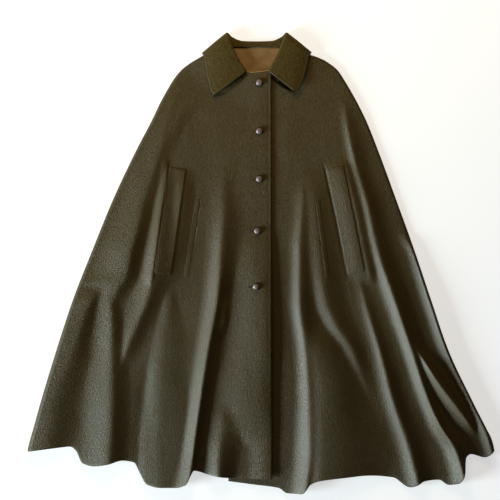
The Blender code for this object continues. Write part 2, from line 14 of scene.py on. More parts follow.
import bpy
import numpy as np
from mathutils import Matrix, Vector


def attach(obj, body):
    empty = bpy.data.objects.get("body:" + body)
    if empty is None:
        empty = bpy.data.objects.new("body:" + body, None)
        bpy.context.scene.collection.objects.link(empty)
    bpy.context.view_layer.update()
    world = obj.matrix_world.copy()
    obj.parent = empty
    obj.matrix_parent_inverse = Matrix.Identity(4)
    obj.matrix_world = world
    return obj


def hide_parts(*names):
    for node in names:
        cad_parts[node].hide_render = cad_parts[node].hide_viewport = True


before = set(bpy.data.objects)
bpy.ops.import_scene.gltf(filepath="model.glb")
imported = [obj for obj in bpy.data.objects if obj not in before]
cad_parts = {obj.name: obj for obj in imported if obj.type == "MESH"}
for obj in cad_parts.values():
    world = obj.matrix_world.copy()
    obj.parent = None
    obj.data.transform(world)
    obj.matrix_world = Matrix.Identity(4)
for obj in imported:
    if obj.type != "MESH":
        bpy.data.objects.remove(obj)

MM = 0.001
LOG = logging.getLogger("cape")
RGB = tuple[float, float, float]
Point = tuple[float, float]

# ------------------------------------------------------------- layers of cloth, mm
CLOTH = 2.2            # loden wall
LINING = 1.0
COLLAR = 3.2           # upper and under collar as one wall
SEAM_GAP = 0.3         # between pieces that are sewn together
EASE = 0.8             # air between layers that only lie on each other
BACK_TOP = CLOTH
LINING_TOP = BACK_TOP + 2 * SEAM_GAP + LINING
UNDER_TOP = LINING_TOP + EASE + CLOTH           # outer face of the left front at rest
OVER_TOP = UNDER_TOP + EASE + SEAM_GAP + CLOTH  # outer face of the right front at rest
SEAM_TOP = BACK_TOP + EASE + CLOTH              # outer face of a front at the side seam
EDGE_ROLL = 4.0        # width over which a front rises from the side seam
NECK_LIFT = COLLAR + EASE
NECK_X = -10.0         # middle of the neck
FALL_DEPTH_Y = 472.0   # lowest point of the collar's hidden back edge
FALL_HALF = 128.0      # half its width at the shoulders
FALL_RISE = 47.0       # how far the edge climbs from the middle to the shoulders
LIFT_RAMP = 90.0       # length over which the collar lifts what lies on it
LINING_LOW_Y = 455.0   # the fronts' seams clear the lining above this height
STILL_RAMP = 40.0      # width over which ripples fade out beside cloth that lies on them
THREAD_TOP = 0.15      # how far the middle of a stitch stands off the cloth

# ------------------------------------------------------------------ rules of the mesh
CREST = 0.18           # how round the crest of a creased fold is, as a share of its side
BLEND = 3              # power by which the highest of the folds that meet prevails
LATTICE = 64           # knots across and down a ripple's pattern
SETTLE_STEPS = 6       # rounds that find which point of a tipped face is over a place
PROBE = 1.0            # mm on either side of a point, for the slope of a face there
ROW_SAMPLES = 4000     # points that measure the length of a row
END_STEPS = 6          # steps round a small half circle
CUT_LOW, CUT_HIGH = -20.0, 90.0  # heights that the cutter of a slit reaches, mm


class Side(Enum):
    """The wearer's side of a front, which says how it closes."""

    RIGHT = "right"    # laps over and has the buttonholes
    LEFT = "left"      # lies under and carries the buttons


# ------------------------------------------------------------------------ curves
def monotone(at: np.ndarray, knots: Sequence[float], values: Sequence[float]) -> np.ndarray:
    """Cubic through the knots that never overshoots them.

    Args:
        at: Where to read the curve.
        knots: Increasing places of the knots.
        values: The curve's values there.

    Returns:
        The curve at each place; beyond the ends it stays level.
    """
    at, knots, values = (np.asarray(a, float) for a in (at, knots, values))
    step = np.diff(knots)
    slope = np.diff(values) / step
    tangent = np.zeros(len(knots))
    tangent[0], tangent[-1] = slope[0], slope[-1]
    same_way = slope[:-1] * slope[1:] > 0
    mean = 2 * slope[:-1] * slope[1:] / np.where(same_way, slope[:-1] + slope[1:], 1)
    tangent[1:-1] = np.where(same_way, mean, 0)
    at = np.clip(at, knots[0], knots[-1])
    i = np.clip(np.searchsorted(knots, at, side="right") - 1, 0, len(step) - 1)
    t = (at - knots[i]) / step[i]
    return (
        values[i] * (1 + 2 * t) * (1 - t) ** 2
        + tangent[i] * step[i] * t * (1 - t) ** 2
        + values[i + 1] * t * t * (3 - 2 * t)
        + tangent[i + 1] * step[i] * t * t * (t - 1)
    )


def smoothstep(t: np.ndarray) -> np.ndarray:
    """0 below 0, 1 above 1 and a soft step between."""
    t = np.clip(t, 0, 1)
    return t * t * (3 - 2 * t)


def along(points: Sequence[Point], share: np.ndarray) -> np.ndarray:
    """Points at shares of the length of a smooth curve.

    Args:
        points: What the curve goes through.
        share: Shares of its length, 0 to 1.

    Returns:
        One point for each share.
    """
    line = np.array(points, float)
    reach = np.concatenate([[0], np.cumsum(np.linalg.norm(np.diff(line, axis=0), axis=1))])
    at = np.asarray(share) * reach[-1]
    return np.stack([monotone(at, reach, line[:, k]) for k in (0, 1)], axis=-1)


def bell(off: float, height: float, width: float) -> float:
    """A bell-shaped rise, at a distance off its middle."""
    return height * math.exp(-((off / width) ** 2))


def height_at(x: np.ndarray, rows: Sequence[Point]) -> np.ndarray:
    """Height up the garment of a hem or neck edge given as points from left to right."""
    return monotone(x, [row[0] for row in rows], [row[1] for row in rows])


# ------------------------------------------------------------- outline tables, mm
SIDES = (  # y, left, right: the shoulder and side seams from the neck to the hem
    (532, -84, 63), (519, -141, 125), (508, -162, 155), (497, -180, 173),
    (482, -199, 191), (457, -219, 208), (432, -234, 223), (407, -248, 237),
    (357, -272, 262), (282, -311, 292), (157, -370, 338), (32, -421, 383),
    (-93, -470, 425), (-218, -511, 468), (-343, -549, 527), (-418, -570, 565),
    (-442, -577, 577), (-470, -584, 584),
)
OVER_HEM = (
    (-584, -470), (-502, -460), (-477, -458), (-463, -467), (-446, -500), (-420, -507),
    (-390, -503), (-347, -493), (-317, -498), (-303, -524), (-285, -553), (-250, -561),
    (-215, -561), (-194, -553), (-182, -530), (-170, -518), (-127, -529), (-82, -536),
    (26, -540),
)
UNDER_HEM = (
    (-81, -545), (-20, -553), (45, -562), (66, -575), (97, -576), (120, -552),
    (145, -543), (210, -535), (270, -530), (330, -535), (372, -560), (410, -544),
    (445, -541), (470, -554), (490, -551), (505, -524), (512, -486), (525, -477),
    (560, -485), (584, -470),
)
BACK_HEM = (
    (-584, -468), (-472, -448), (-330, -482), (-170, -502), (0, -518), (150, -512),
    (300, -500), (430, -480), (500, -458), (584, -468),
)
OVER_NECK = ((-84, 532), (-77, 514), (-64, 495), (-45, 478), (-22, 475), (3, 477), (24, 482))
UNDER_NECK = ((-38, 469), (-8, 469), (16, 471), (34, 478), (47, 500), (57, 517), (63, 532))
BACK_NECK = ((-84, 532), (-60, 540), (-10, 545), (40, 540), (63, 532))
OVER_EDGE_HEM_X = 26.0
UNDER_EDGE_HEM_X = -81.0
BUTTON_PLACES = ((-4, 451), (-4, 330), (-4, 210), (-9, 80), (-12, -59))
FRONT_STITCH = ((-540, 20), (0, 19.5), (482, 18))  # y and x of the thread by the edge
FRONT_STITCH_ENDS = (474, -534)


def side_line(column: int) -> list[Point]:
    """A side seam as points from the neck down; column 1 is the left, 2 the right."""
    return [(row[column], row[0]) for row in SIDES]


# -------------------------------------------------------------------------- folds
@dataclass(frozen=True)
class Fold:
    """A ridge of cloth, or a trough where its heights are below 0.

    Attributes:
        name: What it is on the garment.
        lean: Share of its height by which the crest tips to the right.
        stations: Rows of the tipped crest's x and y, its height and the widths to its left
            and right, from the top.
        crease: 0 where the ridge is round, 1 where its sides steepen up to the crest.
    """

    name: str
    lean: float
    stations: tuple[tuple[float, ...], ...]
    crease: float = 0.0

    def height(self, x: np.ndarray, y: np.ndarray) -> np.ndarray:
        """Height of the fold over plan points.

        Args:
            x: Places across, in mm.
            y: Places up the garment, in mm.

        Returns:
            The height at each, in mm.
        """
        knots = [-s[1] for s in self.stations]
        foot = [s[0] - self.lean * s[2] for s in self.stations]
        crest, ahead = monotone(-y, knots, foot), monotone(-y + 1, knots, foot)
        height, left, right = (
            monotone(-y, knots, [s[k] for s in self.stations]) for k in (2, 3, 4)
        )
        across = (x - crest) / np.hypot(1, ahead - crest)
        share = np.clip(across / np.where(across < 0, left, right), -1, 1)
        sharp = (np.sqrt(share**2 + CREST**2) - CREST) / (math.hypot(1, CREST) - CREST)
        form = (1 - self.crease) * (1 - share**2) ** 2 + self.crease * (1 - sharp) ** 3
        return height * form


OVER_FOLDS = (
    Fold("shoulder_mound", 0.1, (
        (-187, 470, 0, 30, 50), (-230, 370, 3, 45, 40), (-252, 282, 5, 56, 34),
        (-294, 157, 8, 70, 42), (-308, 95, 12, 78, 44), (-325, 32, 15, 88, 46),
        (-338, -30, 13, 90, 44), (-360, -67, 10, 76, 40), (-376, -105, 5, 60, 34),
        (-386, -150, 0, 50, 30)), 0.4),
    Fold("side_roll", 0.1, (
        (-405, -55, 0, 40, 26), (-425, -92, 8, 60, 26), (-444, -130, 9, 80, 34),
        (-458, -175, 10, 110, 38), (-472, -217, 11, 120, 46), (-502, -280, 12, 140, 66),
        (-524, -342, 13, 140, 76), (-534, -405, 14, 150, 80), (-552, -480, 14, 150, 80)), 0.1),
    Fold("outer_flute", 0.3, (
        (-384, -66, 0, 26, 24), (-377, -92, 5, 36, 30), (-372, -155, 9, 44, 40),
        (-372, -217, 10, 50, 50), (-372, -342, 13, 74, 54), (-380, -507, 14, 78, 54)), 0.4),
    Fold("arm_fold", 0.24, (
        (-236, 245, 0, 30, 20), (-245, 157, 6, 32, 70), (-260, 32, 13, 46, 100),
        (-268, -30, 14, 46, 84), (-284, -92, 13, 46, 58), (-310, -155, 10, 44, 50),
        (-336, -217, 8, 30, 48), (-356, -280, 0, 22, 30)), 0.6),
    Fold("welt_fold", 0.0, (
        (-188, 235, 0, 34, 24), (-197, 157, 6.5, 50, 36), (-217, 32, 5.5, 50, 44),
        (-238, -40, 2, 40, 44), (-246, -85, 0, 34, 34)), 0.2),
    Fold("collar_fold", 0.0, (
        (-150, 437, 0, 30, 26), (-222, 345, 4, 40, 36), (-256, 235, 0, 30, 26))),
    Fold("middle_flute", 0.0, (
        (-228, -55, 0, 30, 20), (-230, -92, 3, 30, 26), (-242, -217, 4, 36, 60),
        (-248, -280, 5, 40, 64), (-246, -342, 5, 46, 80), (-250, -467, 4, 50, 96),
        (-246, -557, 6, 54, 100))),
    Fold("front_flute", 0.3, (
        (-92, 245, 0, 60, 45), (-92, 157, 5, 56, 60), (-99, 32, 12, 44, 84),
        (-109, -92, 17, 42, 50), (-132, -217, 17, 36, 48), (-151, -342, 17, 34, 42),
        (-168, -467, 18, 38, 36), (-180, -560, 21, 60, 34)), 0.9),
    Fold("button_side_swell", 0.0, (
        (-6, 90, 0, 50, 60), (-6, 30, 6, 84, 80), (6, -92, 10, 94, 70),
        (6, -217, 12, 108, 80), (-10, -342, 11, 120, 84), (2, -405, 9, 120, 70),
        (18, -467, 6, 58, 60), (14, -545, 6, 50, 60))),
    Fold("notch_fold", 0.1, (
        (-100, -70, 0, 16, 18), (-96, -110, 6, 20, 24), (-100, -150, 8, 20, 24),
        (-118, -205, 0, 16, 18))),
    Fold("hem_flute", 0.1, (
        (-92, -340, 0, 30, 40), (-94, -405, 8, 44, 70), (-103, -467, 13, 42, 60),
        (-106, -545, 17, 44, 44)), 0.3),
)
UNDER_FOLDS = (
    Fold("welt_fold", 0.0, (
        (200, 262, 0, 40, 30), (208, 230, 5, 48, 34), (228, 157, 7, 54, 36),
        (254, 32, 7, 54, 36), (266, -22, 6, 54, 34), (272, -60, 0, 40, 30))),
    Fold("front_flute", 0.2, (
        (105, 205, 0, 40, 30), (105, 157, 5, 36, 44), (97, 32, 10, 32, 76),
        (97, -92, 13, 34, 76), (112, -217, 14, 34, 90), (120, -342, 16, 38, 80),
        (122, -467, 19, 46, 66), (112, -572, 21, 50, 52)), 0.9),
    Fold("low_swell", 0.0, (
        (118, -140, 0, 30, 50), (140, -217, 14, 54, 90), (158, -342, 20, 76, 124),
        (156, -467, 24, 80, 180), (150, -560, 26, 80, 186))),
    Fold("pocket_fold", 0.1, (
        (126, 232, 0, 50, 44), (134, 157, 6, 60, 50), (144, 32, 9, 60, 58),
        (163, -92, 10, 46, 58), (190, -155, 10, 40, 48), (228, -217, 8, 42, 34),
        (257, -292, 3, 36, 28), (270, -342, 0, 30, 24)), 0.3),
    Fold("middle_flute", 0.2, (
        (240, -5, 0, 26, 24), (260, -92, 4, 26, 38), (297, -217, 8, 26, 40),
        (330, -342, 11, 34, 46), (372, -467, 12, 34, 58), (396, -560, 16, 40, 50)), 0.8),
    Fold("arm_fold", 0.22, (
        (210, 407, 0, 22, 36), (215, 357, 4, 22, 44), (229, 282, 7, 24, 50),
        (245, 220, 8, 34, 46), (264, 157, 10, 38, 48), (293, 32, 12, 38, 60),
        (334, -92, 15, 34, 54), (376, -217, 16, 30, 46), (418, -342, 17, 30, 38),
        (447, -405, 19, 32, 36), (486, -467, 21, 36, 42), (512, -550, 24, 44, 40)), 0.9),
    Fold("branch_fold", 0.2, (
        (372, -180, 0, 16, 20), (382, -207, 7, 18, 24), (404, -240, 16, 24, 28),
        (430, -280, 23, 30, 36), (476, -342, 22, 38, 32), (520, -402, 13, 38, 24),
        (538, -434, 0, 24, 18)), 0.6),
    Fold("side_roll", 0.0, (
        (352, 82, 0, 20, 12), (380, 32, 7, 24, 14), (423, -92, 13, 28, 14),
        (466, -217, 15, 28, 14), (525, -342, 15, 28, 14), (566, -430, 12, 28, 14),
        (578, -470, 10, 26, 12)), 0.6),
)
OVER_DETAILS = (
    Fold("collar_press", 0.0, (
        (-26, 480, 0, 5, 8), (-40, 469, -3.5, 7, 10), (-98, 427, -3.5, 7, 11),
        (-114, 415, 0, 6, 8))),
    Fold("valley_crease", 0.0, (
        (-282, -217, 0, 30, 26), (-288, -280, -2, 40, 26), (-296, -342, -3, 44, 28),
        (-304, -405, -3, 46, 26), (-308, -467, -3, 46, 24), (-310, -560, -3, 46, 26)), 0.7),
    Fold("arm_seam_roll", 0.0, (
        (-235, 262, 0, 14, 5), (-235, 235, 2.8, 20, 4), (-254, 105, 3.2, 24, 4),
        (-273, -25, 3.2, 24, 4), (-279, -60, 0, 16, 6))),
    Fold("front_edge_stitch", 0.0, (
        (18, 482, -0.5, 2.2, 2.2), (19.5, 0, -0.5, 2.2, 2.2), (20, -540, -0.5, 2.2, 2.2))),
)
UNDER_DETAILS = (
    Fold("collar_press", 0.0, (
        (20, 483, -5.0, 15, 8), (32, 471, -5.0, 15, 8), (70, 441, -4.5, 13, 8),
        (88, 427, 0, 8, 6))),
    Fold("welt_free_trough", 0.0, (
        (157, 250, 0, 4, 3), (161, 232, -1.6, 5, 3), (190, 96, -1.6, 5, 3),
        (215, -25, -1.4, 5, 3), (218, -40, 0, 4, 3))),
    Fold("arm_seam_roll", 0.0, (
        (215, 250, 0, 6, 16), (217, 234, 1.0, 8, 24), (245, 105, 1.3, 8, 26),
        (271, -25, 1.2, 8, 24), (275, -48, 0, 6, 16))),
)


@dataclass(frozen=True)
class Ripple:
    """The uneven lie of soft cloth: smooth seeded waves that only rise.

    Attributes:
        seed: Fixes the pattern.
        across: Width of a wave, in mm.
        down: Its length, in mm.
        height: The most that it rises, in mm.
    """

    seed: int
    across: float
    down: float
    height: float

    def at(self, x: np.ndarray, y: np.ndarray) -> np.ndarray:
        """Height of the ripple over plan points.

        Args:
            x: Places across, in mm.
            y: Places up the garment, in mm.

        Returns:
            The height at each, in mm.
        """
        knots = np.random.default_rng(self.seed).random((LATTICE, LATTICE))
        gx, gy = x / self.across + LATTICE // 2, y / self.down + LATTICE // 2
        i, j = np.floor(gx).astype(int), np.floor(gy).astype(int)
        fx, fy = smoothstep(gx - i), smoothstep(gy - j)
        i, j, right, below = (k % LATTICE for k in (i, j, i + 1, j + 1))
        top = knots[i, j] * (1 - fx) + knots[right, j] * fx
        low = knots[i, below] * (1 - fx) + knots[right, below] * fx
        return self.height * (top * (1 - fy) + low * fy)


OVER_RIPPLES = (Ripple(5, 70, 150, 1.6), Ripple(6, 26, 60, 0.5))
UNDER_RIPPLES = (Ripple(7, 70, 150, 1.6), Ripple(8, 26, 60, 0.5))
LINING_RIPPLES = (Ripple(11, 22, 40, 0.45), Ripple(12, 9, 30, 0.2))
OVER_STILL_X = -1000.0  # left of the whole right front, on which no front lies
UNDER_STILL_X = 32.0    # the right front lies on the left one up to here


def neck_lift(x: np.ndarray, y: np.ndarray) -> np.ndarray:
    """How far the collar's hidden back half lifts what lies over it, in mm."""
    edge = FALL_DEPTH_Y + FALL_RISE * ((x - NECK_X) / FALL_HALF) ** 2
    return NECK_LIFT * smoothstep((y - edge) / LIFT_RAMP + 1)


def off_side_seam(x: np.ndarray, y: np.ndarray) -> np.ndarray:
    """0 at the side seams, 1 where a front is clear of their roll.

    Args:
        x: Places across, in mm.
        y: Places up the garment, in mm.

    Returns:
        The share at each place.
    """
    knots = [-row[0] for row in SIDES]
    share = np.ones_like(x)
    for column, sign in ((1, 1), (2, -1)):
        values = [row[column] for row in SIDES]
        line = monotone(-y, knots, values)
        slope = monotone(-y + 1, knots, values) - line
        share = np.minimum(share, smoothstep(sign * (x - line) / np.hypot(1, slope) / EDGE_ROLL))
    return share


@dataclass(frozen=True)
class FrontSurface:
    """The outer face of a front, from its folds.

    Attributes:
        rest: Height of the outer face where the cloth lies flat, in mm.
        folds: The large ridges, blended where they meet.
        details: Seam rolls and stitched grooves, added on top.
        ripples: The uneven lie between folds.
        still_x: The ripples fade out towards this from its right, where cloth lies on it.
    """

    rest: float
    folds: tuple[Fold, ...]
    details: tuple[Fold, ...]
    ripples: tuple[Ripple, ...]
    still_x: float

    def points(self, x: np.ndarray, y: np.ndarray) -> np.ndarray:
        """Points of the outer face for plan points, tipped where a fold leans.

        Args:
            x: Places across, in mm.
            y: Places up the garment, in mm.

        Returns:
            A point for each place, in mm.
        """
        bumps = [fold.height(x, y) for fold in self.folds]
        height = sum(bump**BLEND for bump in bumps) ** (1 / BLEND)
        clear = off_side_seam(x, y)
        shift = sum(fold.lean * bump for fold, bump in zip(self.folds, bumps)) * clear
        free = smoothstep((x - self.still_x) / STILL_RAMP)
        height = height + free * sum(ripple.at(x, y) for ripple in self.ripples)
        height = height + sum(fold.height(x, y) for fold in self.details)
        seam = SEAM_TOP + (LINING + SEAM_GAP) * smoothstep((y - LINING_LOW_Y) / LIFT_RAMP)
        z = neck_lift(x, y) + seam + clear * (self.rest - seam + height)
        return np.stack([x + shift, y, z], axis=-1)

    def above(self, x: np.ndarray, y: np.ndarray, gap: np.ndarray) -> np.ndarray:
        """Points that stand off the face over given places.

        Args:
            x: Places across, in mm.
            y: Places up the garment, in mm.
            gap: How far out from the face, along its normal, in mm.

        Returns:
            A point for each place, in mm.
        """
        x, y = np.asarray(x, float), np.asarray(y, float)
        at = x.copy()
        for _ in range(SETTLE_STEPS):
            at = at - (self.points(at, y)[..., 0] - x)
        across = self.points(at + PROBE, y) - self.points(at - PROBE, y)
        up = self.points(at, y + PROBE) - self.points(at, y - PROBE)
        normal = np.cross(across, up)
        normal /= np.linalg.norm(normal, axis=-1, keepdims=True)
        return self.points(at, y) + normal * np.asarray(gap)[..., None]


# ------------------------------------------------------------------------- meshes
def new_object(name: str, verts: np.ndarray, faces: list, material: bpy.types.Material,
               smooth: bool = True) -> bpy.types.Object:
    """A mesh object at the origin.

    Args:
        name: The piece's name.
        verts: Its points in mm.
        faces: Vertex numbers of each face, counter-clockwise from outside.
        material: Its finish.
        smooth: Whether its faces are shaded smooth.

    Returns:
        The object, linked to the scene.
    """
    mesh = bpy.data.meshes.new(name)
    mesh.from_pydata((np.asarray(verts) * MM).tolist(), [], faces)
    mesh.materials.append(material)
    if smooth:
        mesh.shade_smooth()
    mesh.update()
    made = bpy.data.objects.new(name, mesh)
    bpy.context.scene.collection.objects.link(made)
    return made


def grid_normals(grid: np.ndarray) -> np.ndarray:
    """Unit normals of a grid of points, rows down and columns across."""
    normal = np.cross(np.gradient(grid, axis=0), np.gradient(grid, axis=1))
    return normal / np.maximum(np.linalg.norm(normal, axis=-1, keepdims=True), 1e-9)


def shell(name: str, grid: np.ndarray, thickness: float, material: bpy.types.Material,
          middle: bool = False) -> bpy.types.Object:
    """A closed wall of cloth with a rounded rim, from the grid of its outer face.

    Args:
        name: The piece's name.
        grid: Rows down and columns across of points in mm.
        thickness: Of the wall, in mm.
        material: Its finish.
        middle: True where the grid is the wall's middle, not its outer face.

    Returns:
        The piece.
    """
    rows, columns, _ = grid.shape
    normal = grid_normals(grid)
    outer = grid + normal * (thickness / 2 if middle else 0)
    inner = outer - normal * thickness
    count = rows * columns
    index = np.arange(count).reshape(rows, columns)
    quads = np.stack([index[:-1, :-1], index[1:, :-1], index[1:, 1:], index[:-1, 1:]], -1)
    quads = quads.reshape(-1, 4)
    rim = np.concatenate([index[0], index[1:, -1], index[-1, -2::-1], index[-2:0:-1, 0]])
    flat_outer, flat_inner = outer.reshape(-1, 3), inner.reshape(-1, 3)
    flat_normal = normal.reshape(-1, 3)[rim]
    centre = (flat_outer[rim] + flat_inner[rim]) / 2
    way = np.roll(centre, -1, 0) - np.roll(centre, 1, 0)
    out = np.cross(way, -flat_normal)
    out /= np.maximum(np.linalg.norm(out, axis=-1, keepdims=True), 1e-9)
    rings = [rim]
    verts = [flat_outer, flat_inner]
    for k, angle in enumerate((math.pi / 4, math.pi / 2, 3 * math.pi / 4)):
        half = thickness / 2
        verts.append(centre + half * (math.cos(angle) * flat_normal + math.sin(angle) * out))
        rings.append(2 * count + k * len(rim) + np.arange(len(rim)))
    rings.append(rim + count)
    faces = [quads, quads[:, ::-1] + count]
    for upper, lower in zip(rings, rings[1:]):
        faces.append(np.stack([upper, np.roll(upper, -1), np.roll(lower, -1), lower], -1))
    return new_object(name, np.concatenate(verts), np.concatenate(faces).tolist(), material)


def patch(u: np.ndarray, v: np.ndarray, edges: dict[str, Callable]) -> np.ndarray:
    """Plan points of a panel between its four edges (a Coons patch).

    Args:
        u: Shares across, left to right.
        v: Shares down.
        edges: Functions "top", "bottom", "left" and "right" from shares to points.

    Returns:
        A grid of plan points.
    """
    across, down = u[None, :, None], v[:, None, None]
    top, bottom = edges["top"](u)[None], edges["bottom"](u)[None]
    left, right = edges["left"](v)[:, None], edges["right"](v)[:, None]
    corners = (
        (1 - across) * (1 - down) * top[:, :1] + across * (1 - down) * top[:, -1:]
        + (1 - across) * down * bottom[:, :1] + across * down * bottom[:, -1:]
    )
    return (1 - across) * left + across * right + (1 - down) * top + down * bottom - corners


def even_columns(count: int, row: Callable[[np.ndarray], np.ndarray]) -> np.ndarray:
    """Shares across at which a row of points is cut into equal lengths.

    Args:
        count: How many shares.
        row: Gives the row's points at given shares.

    Returns:
        The shares, 0 to 1.
    """
    fine = np.linspace(0, 1, ROW_SAMPLES)
    points = row(fine)
    reach = np.concatenate([[0], np.cumsum(np.linalg.norm(np.diff(points, axis=0), axis=1))])
    return np.interp(np.linspace(0, reach[-1], count), reach, fine)


def cut_slits(panel: bpy.types.Object, slits: Sequence[np.ndarray]) -> None:
    """Cuts narrow holes right through a panel.

    Args:
        panel: The closed shell.
        slits: Outlines of the holes in plan, counter-clockwise, in mm.
    """
    verts, faces = [], []
    for outline in slits:
        first, n = len(verts), len(outline)
        verts += [(x, y, z) for z in (CUT_LOW, CUT_HIGH) for x, y in outline]
        faces.append(list(range(first + n - 1, first - 1, -1)))
        faces.append(list(range(first + n, first + 2 * n)))
        for k in range(n):
            a, b = first + k, first + (k + 1) % n
            faces.append([a, b, b + n, a + n])
    cutter = new_object("slit_cutter", np.array(verts), faces, panel.data.materials[0], False)
    hole = panel.modifiers.new("slits", "BOOLEAN")
    hole.operation, hole.solver, hole.object = "DIFFERENCE", "EXACT", cutter
    apply_modifiers(panel)
    bpy.data.objects.remove(cutter)


def apply_modifiers(piece: bpy.types.Object) -> None:
    """Turns a piece's evaluated mesh into its plain mesh and drops its modifiers.

    Args:
        piece: The piece, with its modifiers live.
    """
    graph = bpy.context.evaluated_depsgraph_get()
    mesh = bpy.data.meshes.new_from_object(piece.evaluated_get(graph))
    old = piece.data
    piece.modifiers.clear()
    piece.data = mesh
    bpy.data.meshes.remove(old)
    mesh.name = piece.name


def capsule(middle: Point, way: Point, length: float, width: float) -> np.ndarray:
    """Outline of a narrow slit with round ends.

    Args:
        middle: Its middle, in mm.
        way: The direction along it.
        length: From end to end.
        width: Across it.

    Returns:
        Points counter-clockwise.
    """
    centre, direction = Vector(middle), Vector(way).normalized()
    side = Vector((-direction.y, direction.x))
    points = []
    for sign in (1, -1):
        end = centre + direction * sign * (length - width) / 2
        for k in range(END_STEPS + 1):
            angle = -math.pi / 2 + math.pi * k / END_STEPS
            points.append(
                end + (direction * math.cos(angle) + side * math.sin(angle)) * sign * width / 2
            )
    return np.array(points)


# ---------------------------------------------------------------------- materials
class NodeBoard:
    """Adds nodes to one tree and links them."""

    def __init__(self, tree: bpy.types.NodeTree) -> None:
        """Works on the given tree."""
        self.tree = tree

    def add(self, kind: str, inputs: dict | None = None, **settings: object) -> bpy.types.Node:
        """Adds a node.

        Args:
            kind: The node's type name.
            inputs: Socket name or number to a value, or to a socket that feeds it.
            settings: Properties of the node.

        Returns:
            The node.
        """
        node = self.tree.nodes.new(kind)
        for name, value in settings.items():
            setattr(node, name, value)
        self.feed(node, inputs or {})
        return node

    def feed(self, node: bpy.types.Node, inputs: dict) -> None:
        """Sets or links a node's inputs.

        Args:
            node: The node.
            inputs: Socket name or number to a value, or to a socket that feeds it.
        """
        for key, value in inputs.items():
            if isinstance(value, bpy.types.NodeSocket):
                self.tree.links.new(value, node.inputs[key])
            else:
                node.inputs[key].default_value = value

    def place(self) -> bpy.types.NodeSocket:
        """Where a point is on the garment."""
        return self.add("ShaderNodeTexCoord").outputs["Object"]

    def maths(self, operation: str, a: object, b: object) -> bpy.types.NodeSocket:
        """The result of one sum on two sockets or numbers."""
        return self.add("ShaderNodeMath", {0: a, 1: b}, operation=operation).outputs[0]

    def blend(self, a: object, b: object, share: float) -> bpy.types.NodeSocket:
        """A share of one value with the rest of another."""
        rest = self.maths("MULTIPLY", b, 1 - share)
        return self.maths("ADD", self.maths("MULTIPLY", a, share), rest)

    def noise(self, place: bpy.types.NodeSocket, scale: object, detail: float,
              roughness: float) -> bpy.types.NodeSocket:
        """A noise value between 0 and 1."""
        inputs = {"Vector": place, "Scale": scale, "Detail": detail, "Roughness": roughness}
        return self.add("ShaderNodeTexNoise", inputs).outputs[0]

    def spread(self, value: bpy.types.NodeSocket, low: float, high: float,
               to_low: object = 0.0, to_high: object = 1.0) -> bpy.types.NodeSocket:
        """A value moved from one range into another."""
        inputs = {0: value, 1: low, 2: high, 3: to_low, 4: to_high}
        return self.add("ShaderNodeMapRange", inputs).outputs[0]

    def mix(self, share: object, a: object, b: object) -> bpy.types.NodeSocket:
        """A colour between two others."""
        return self.add("ShaderNodeMix", {0: share, 6: a, 7: b}, data_type="RGBA").outputs[2]

    def bump(self, height: bpy.types.NodeSocket, depth: float) -> bpy.types.NodeSocket:
        """Normals of a relief that is at most a depth in mm."""
        return self.add("ShaderNodeBump", {"Height": height, "Distance": depth * MM}).outputs[0]


def group_tree(name: str, inputs: Sequence[tuple[str, str]],
               outputs: Sequence[tuple[str, str]]) -> tuple[NodeBoard, dict, bpy.types.Node]:
    """A new shader node group.

    Args:
        name: Of the group.
        inputs: Names and socket types of what it takes.
        outputs: Names and socket types of what it gives.

    Returns:
        A board on it, its input sockets by name, and its output node.
    """
    tree = bpy.data.node_groups.new(name, "ShaderNodeTree")
    for label, kind in inputs:
        tree.interface.new_socket(label, in_out="INPUT", socket_type=kind)
    for label, kind in outputs:
        tree.interface.new_socket(label, in_out="OUTPUT", socket_type=kind)
    board = NodeBoard(tree)
    given = board.add("NodeGroupInput")
    return board, {s.name: s for s in given.outputs if s.name}, board.add("NodeGroupOutput")


FLOAT, VECTOR, COLOUR = "NodeSocketFloat", "NodeSocketVector", "NodeSocketColor"
NOISE = (0.3, 0.7)     # values between which nearly all of a noise lies


def fibre_group() -> bpy.types.NodeTree:
    """Spun and milled fibres: melange colour, roughness and nap, from fine to broad.

    Returns:
        The group.
    """
    fine_share = 0.4                         # of single fibres in the grain; clumps are the rest
    deep, middle, pale = 0.40, 0.49, 0.60    # the grain's values at the three colours
    patches, patch_depth = (0.35, 0.7), 0.3  # where a broad patch darkens, and how far
    board, given, result = group_tree(
        "fibre",
        [("Place", VECTOR), ("Fibre", FLOAT), ("Clump", FLOAT), ("Patch", FLOAT),
         ("Dark", COLOUR), ("Middle", COLOUR), ("Light", COLOUR), ("Melange", FLOAT),
         ("Rough Low", FLOAT), ("Rough High", FLOAT)],
        [("Colour", COLOUR), ("Roughness", FLOAT), ("Height", FLOAT)],
    )
    fine = board.noise(given["Place"], given["Fibre"], detail=3.0, roughness=0.7)
    clump = board.noise(given["Place"], given["Clump"], detail=4.0, roughness=0.65)
    broad = board.noise(given["Place"], given["Patch"], detail=3.0, roughness=0.5)
    grain = board.blend(fine, clump, fine_share)
    light = board.maths("MULTIPLY", board.spread(grain, middle, pale), given["Melange"])
    dark = board.maths("MULTIPLY", board.spread(grain, middle, deep), given["Melange"])
    colour = board.mix(light, given["Middle"], given["Light"])
    colour = board.mix(dark, colour, given["Dark"])
    shade = board.maths("MULTIPLY", board.spread(broad, *patches), patch_depth)
    colour = board.mix(shade, colour, given["Dark"])
    rough = board.spread(clump, *NOISE, given["Rough Low"], given["Rough High"])
    for name, value in (("Colour", colour), ("Roughness", rough), ("Height", grain)):
        board.tree.links.new(value, result.inputs[name])
    return board.tree


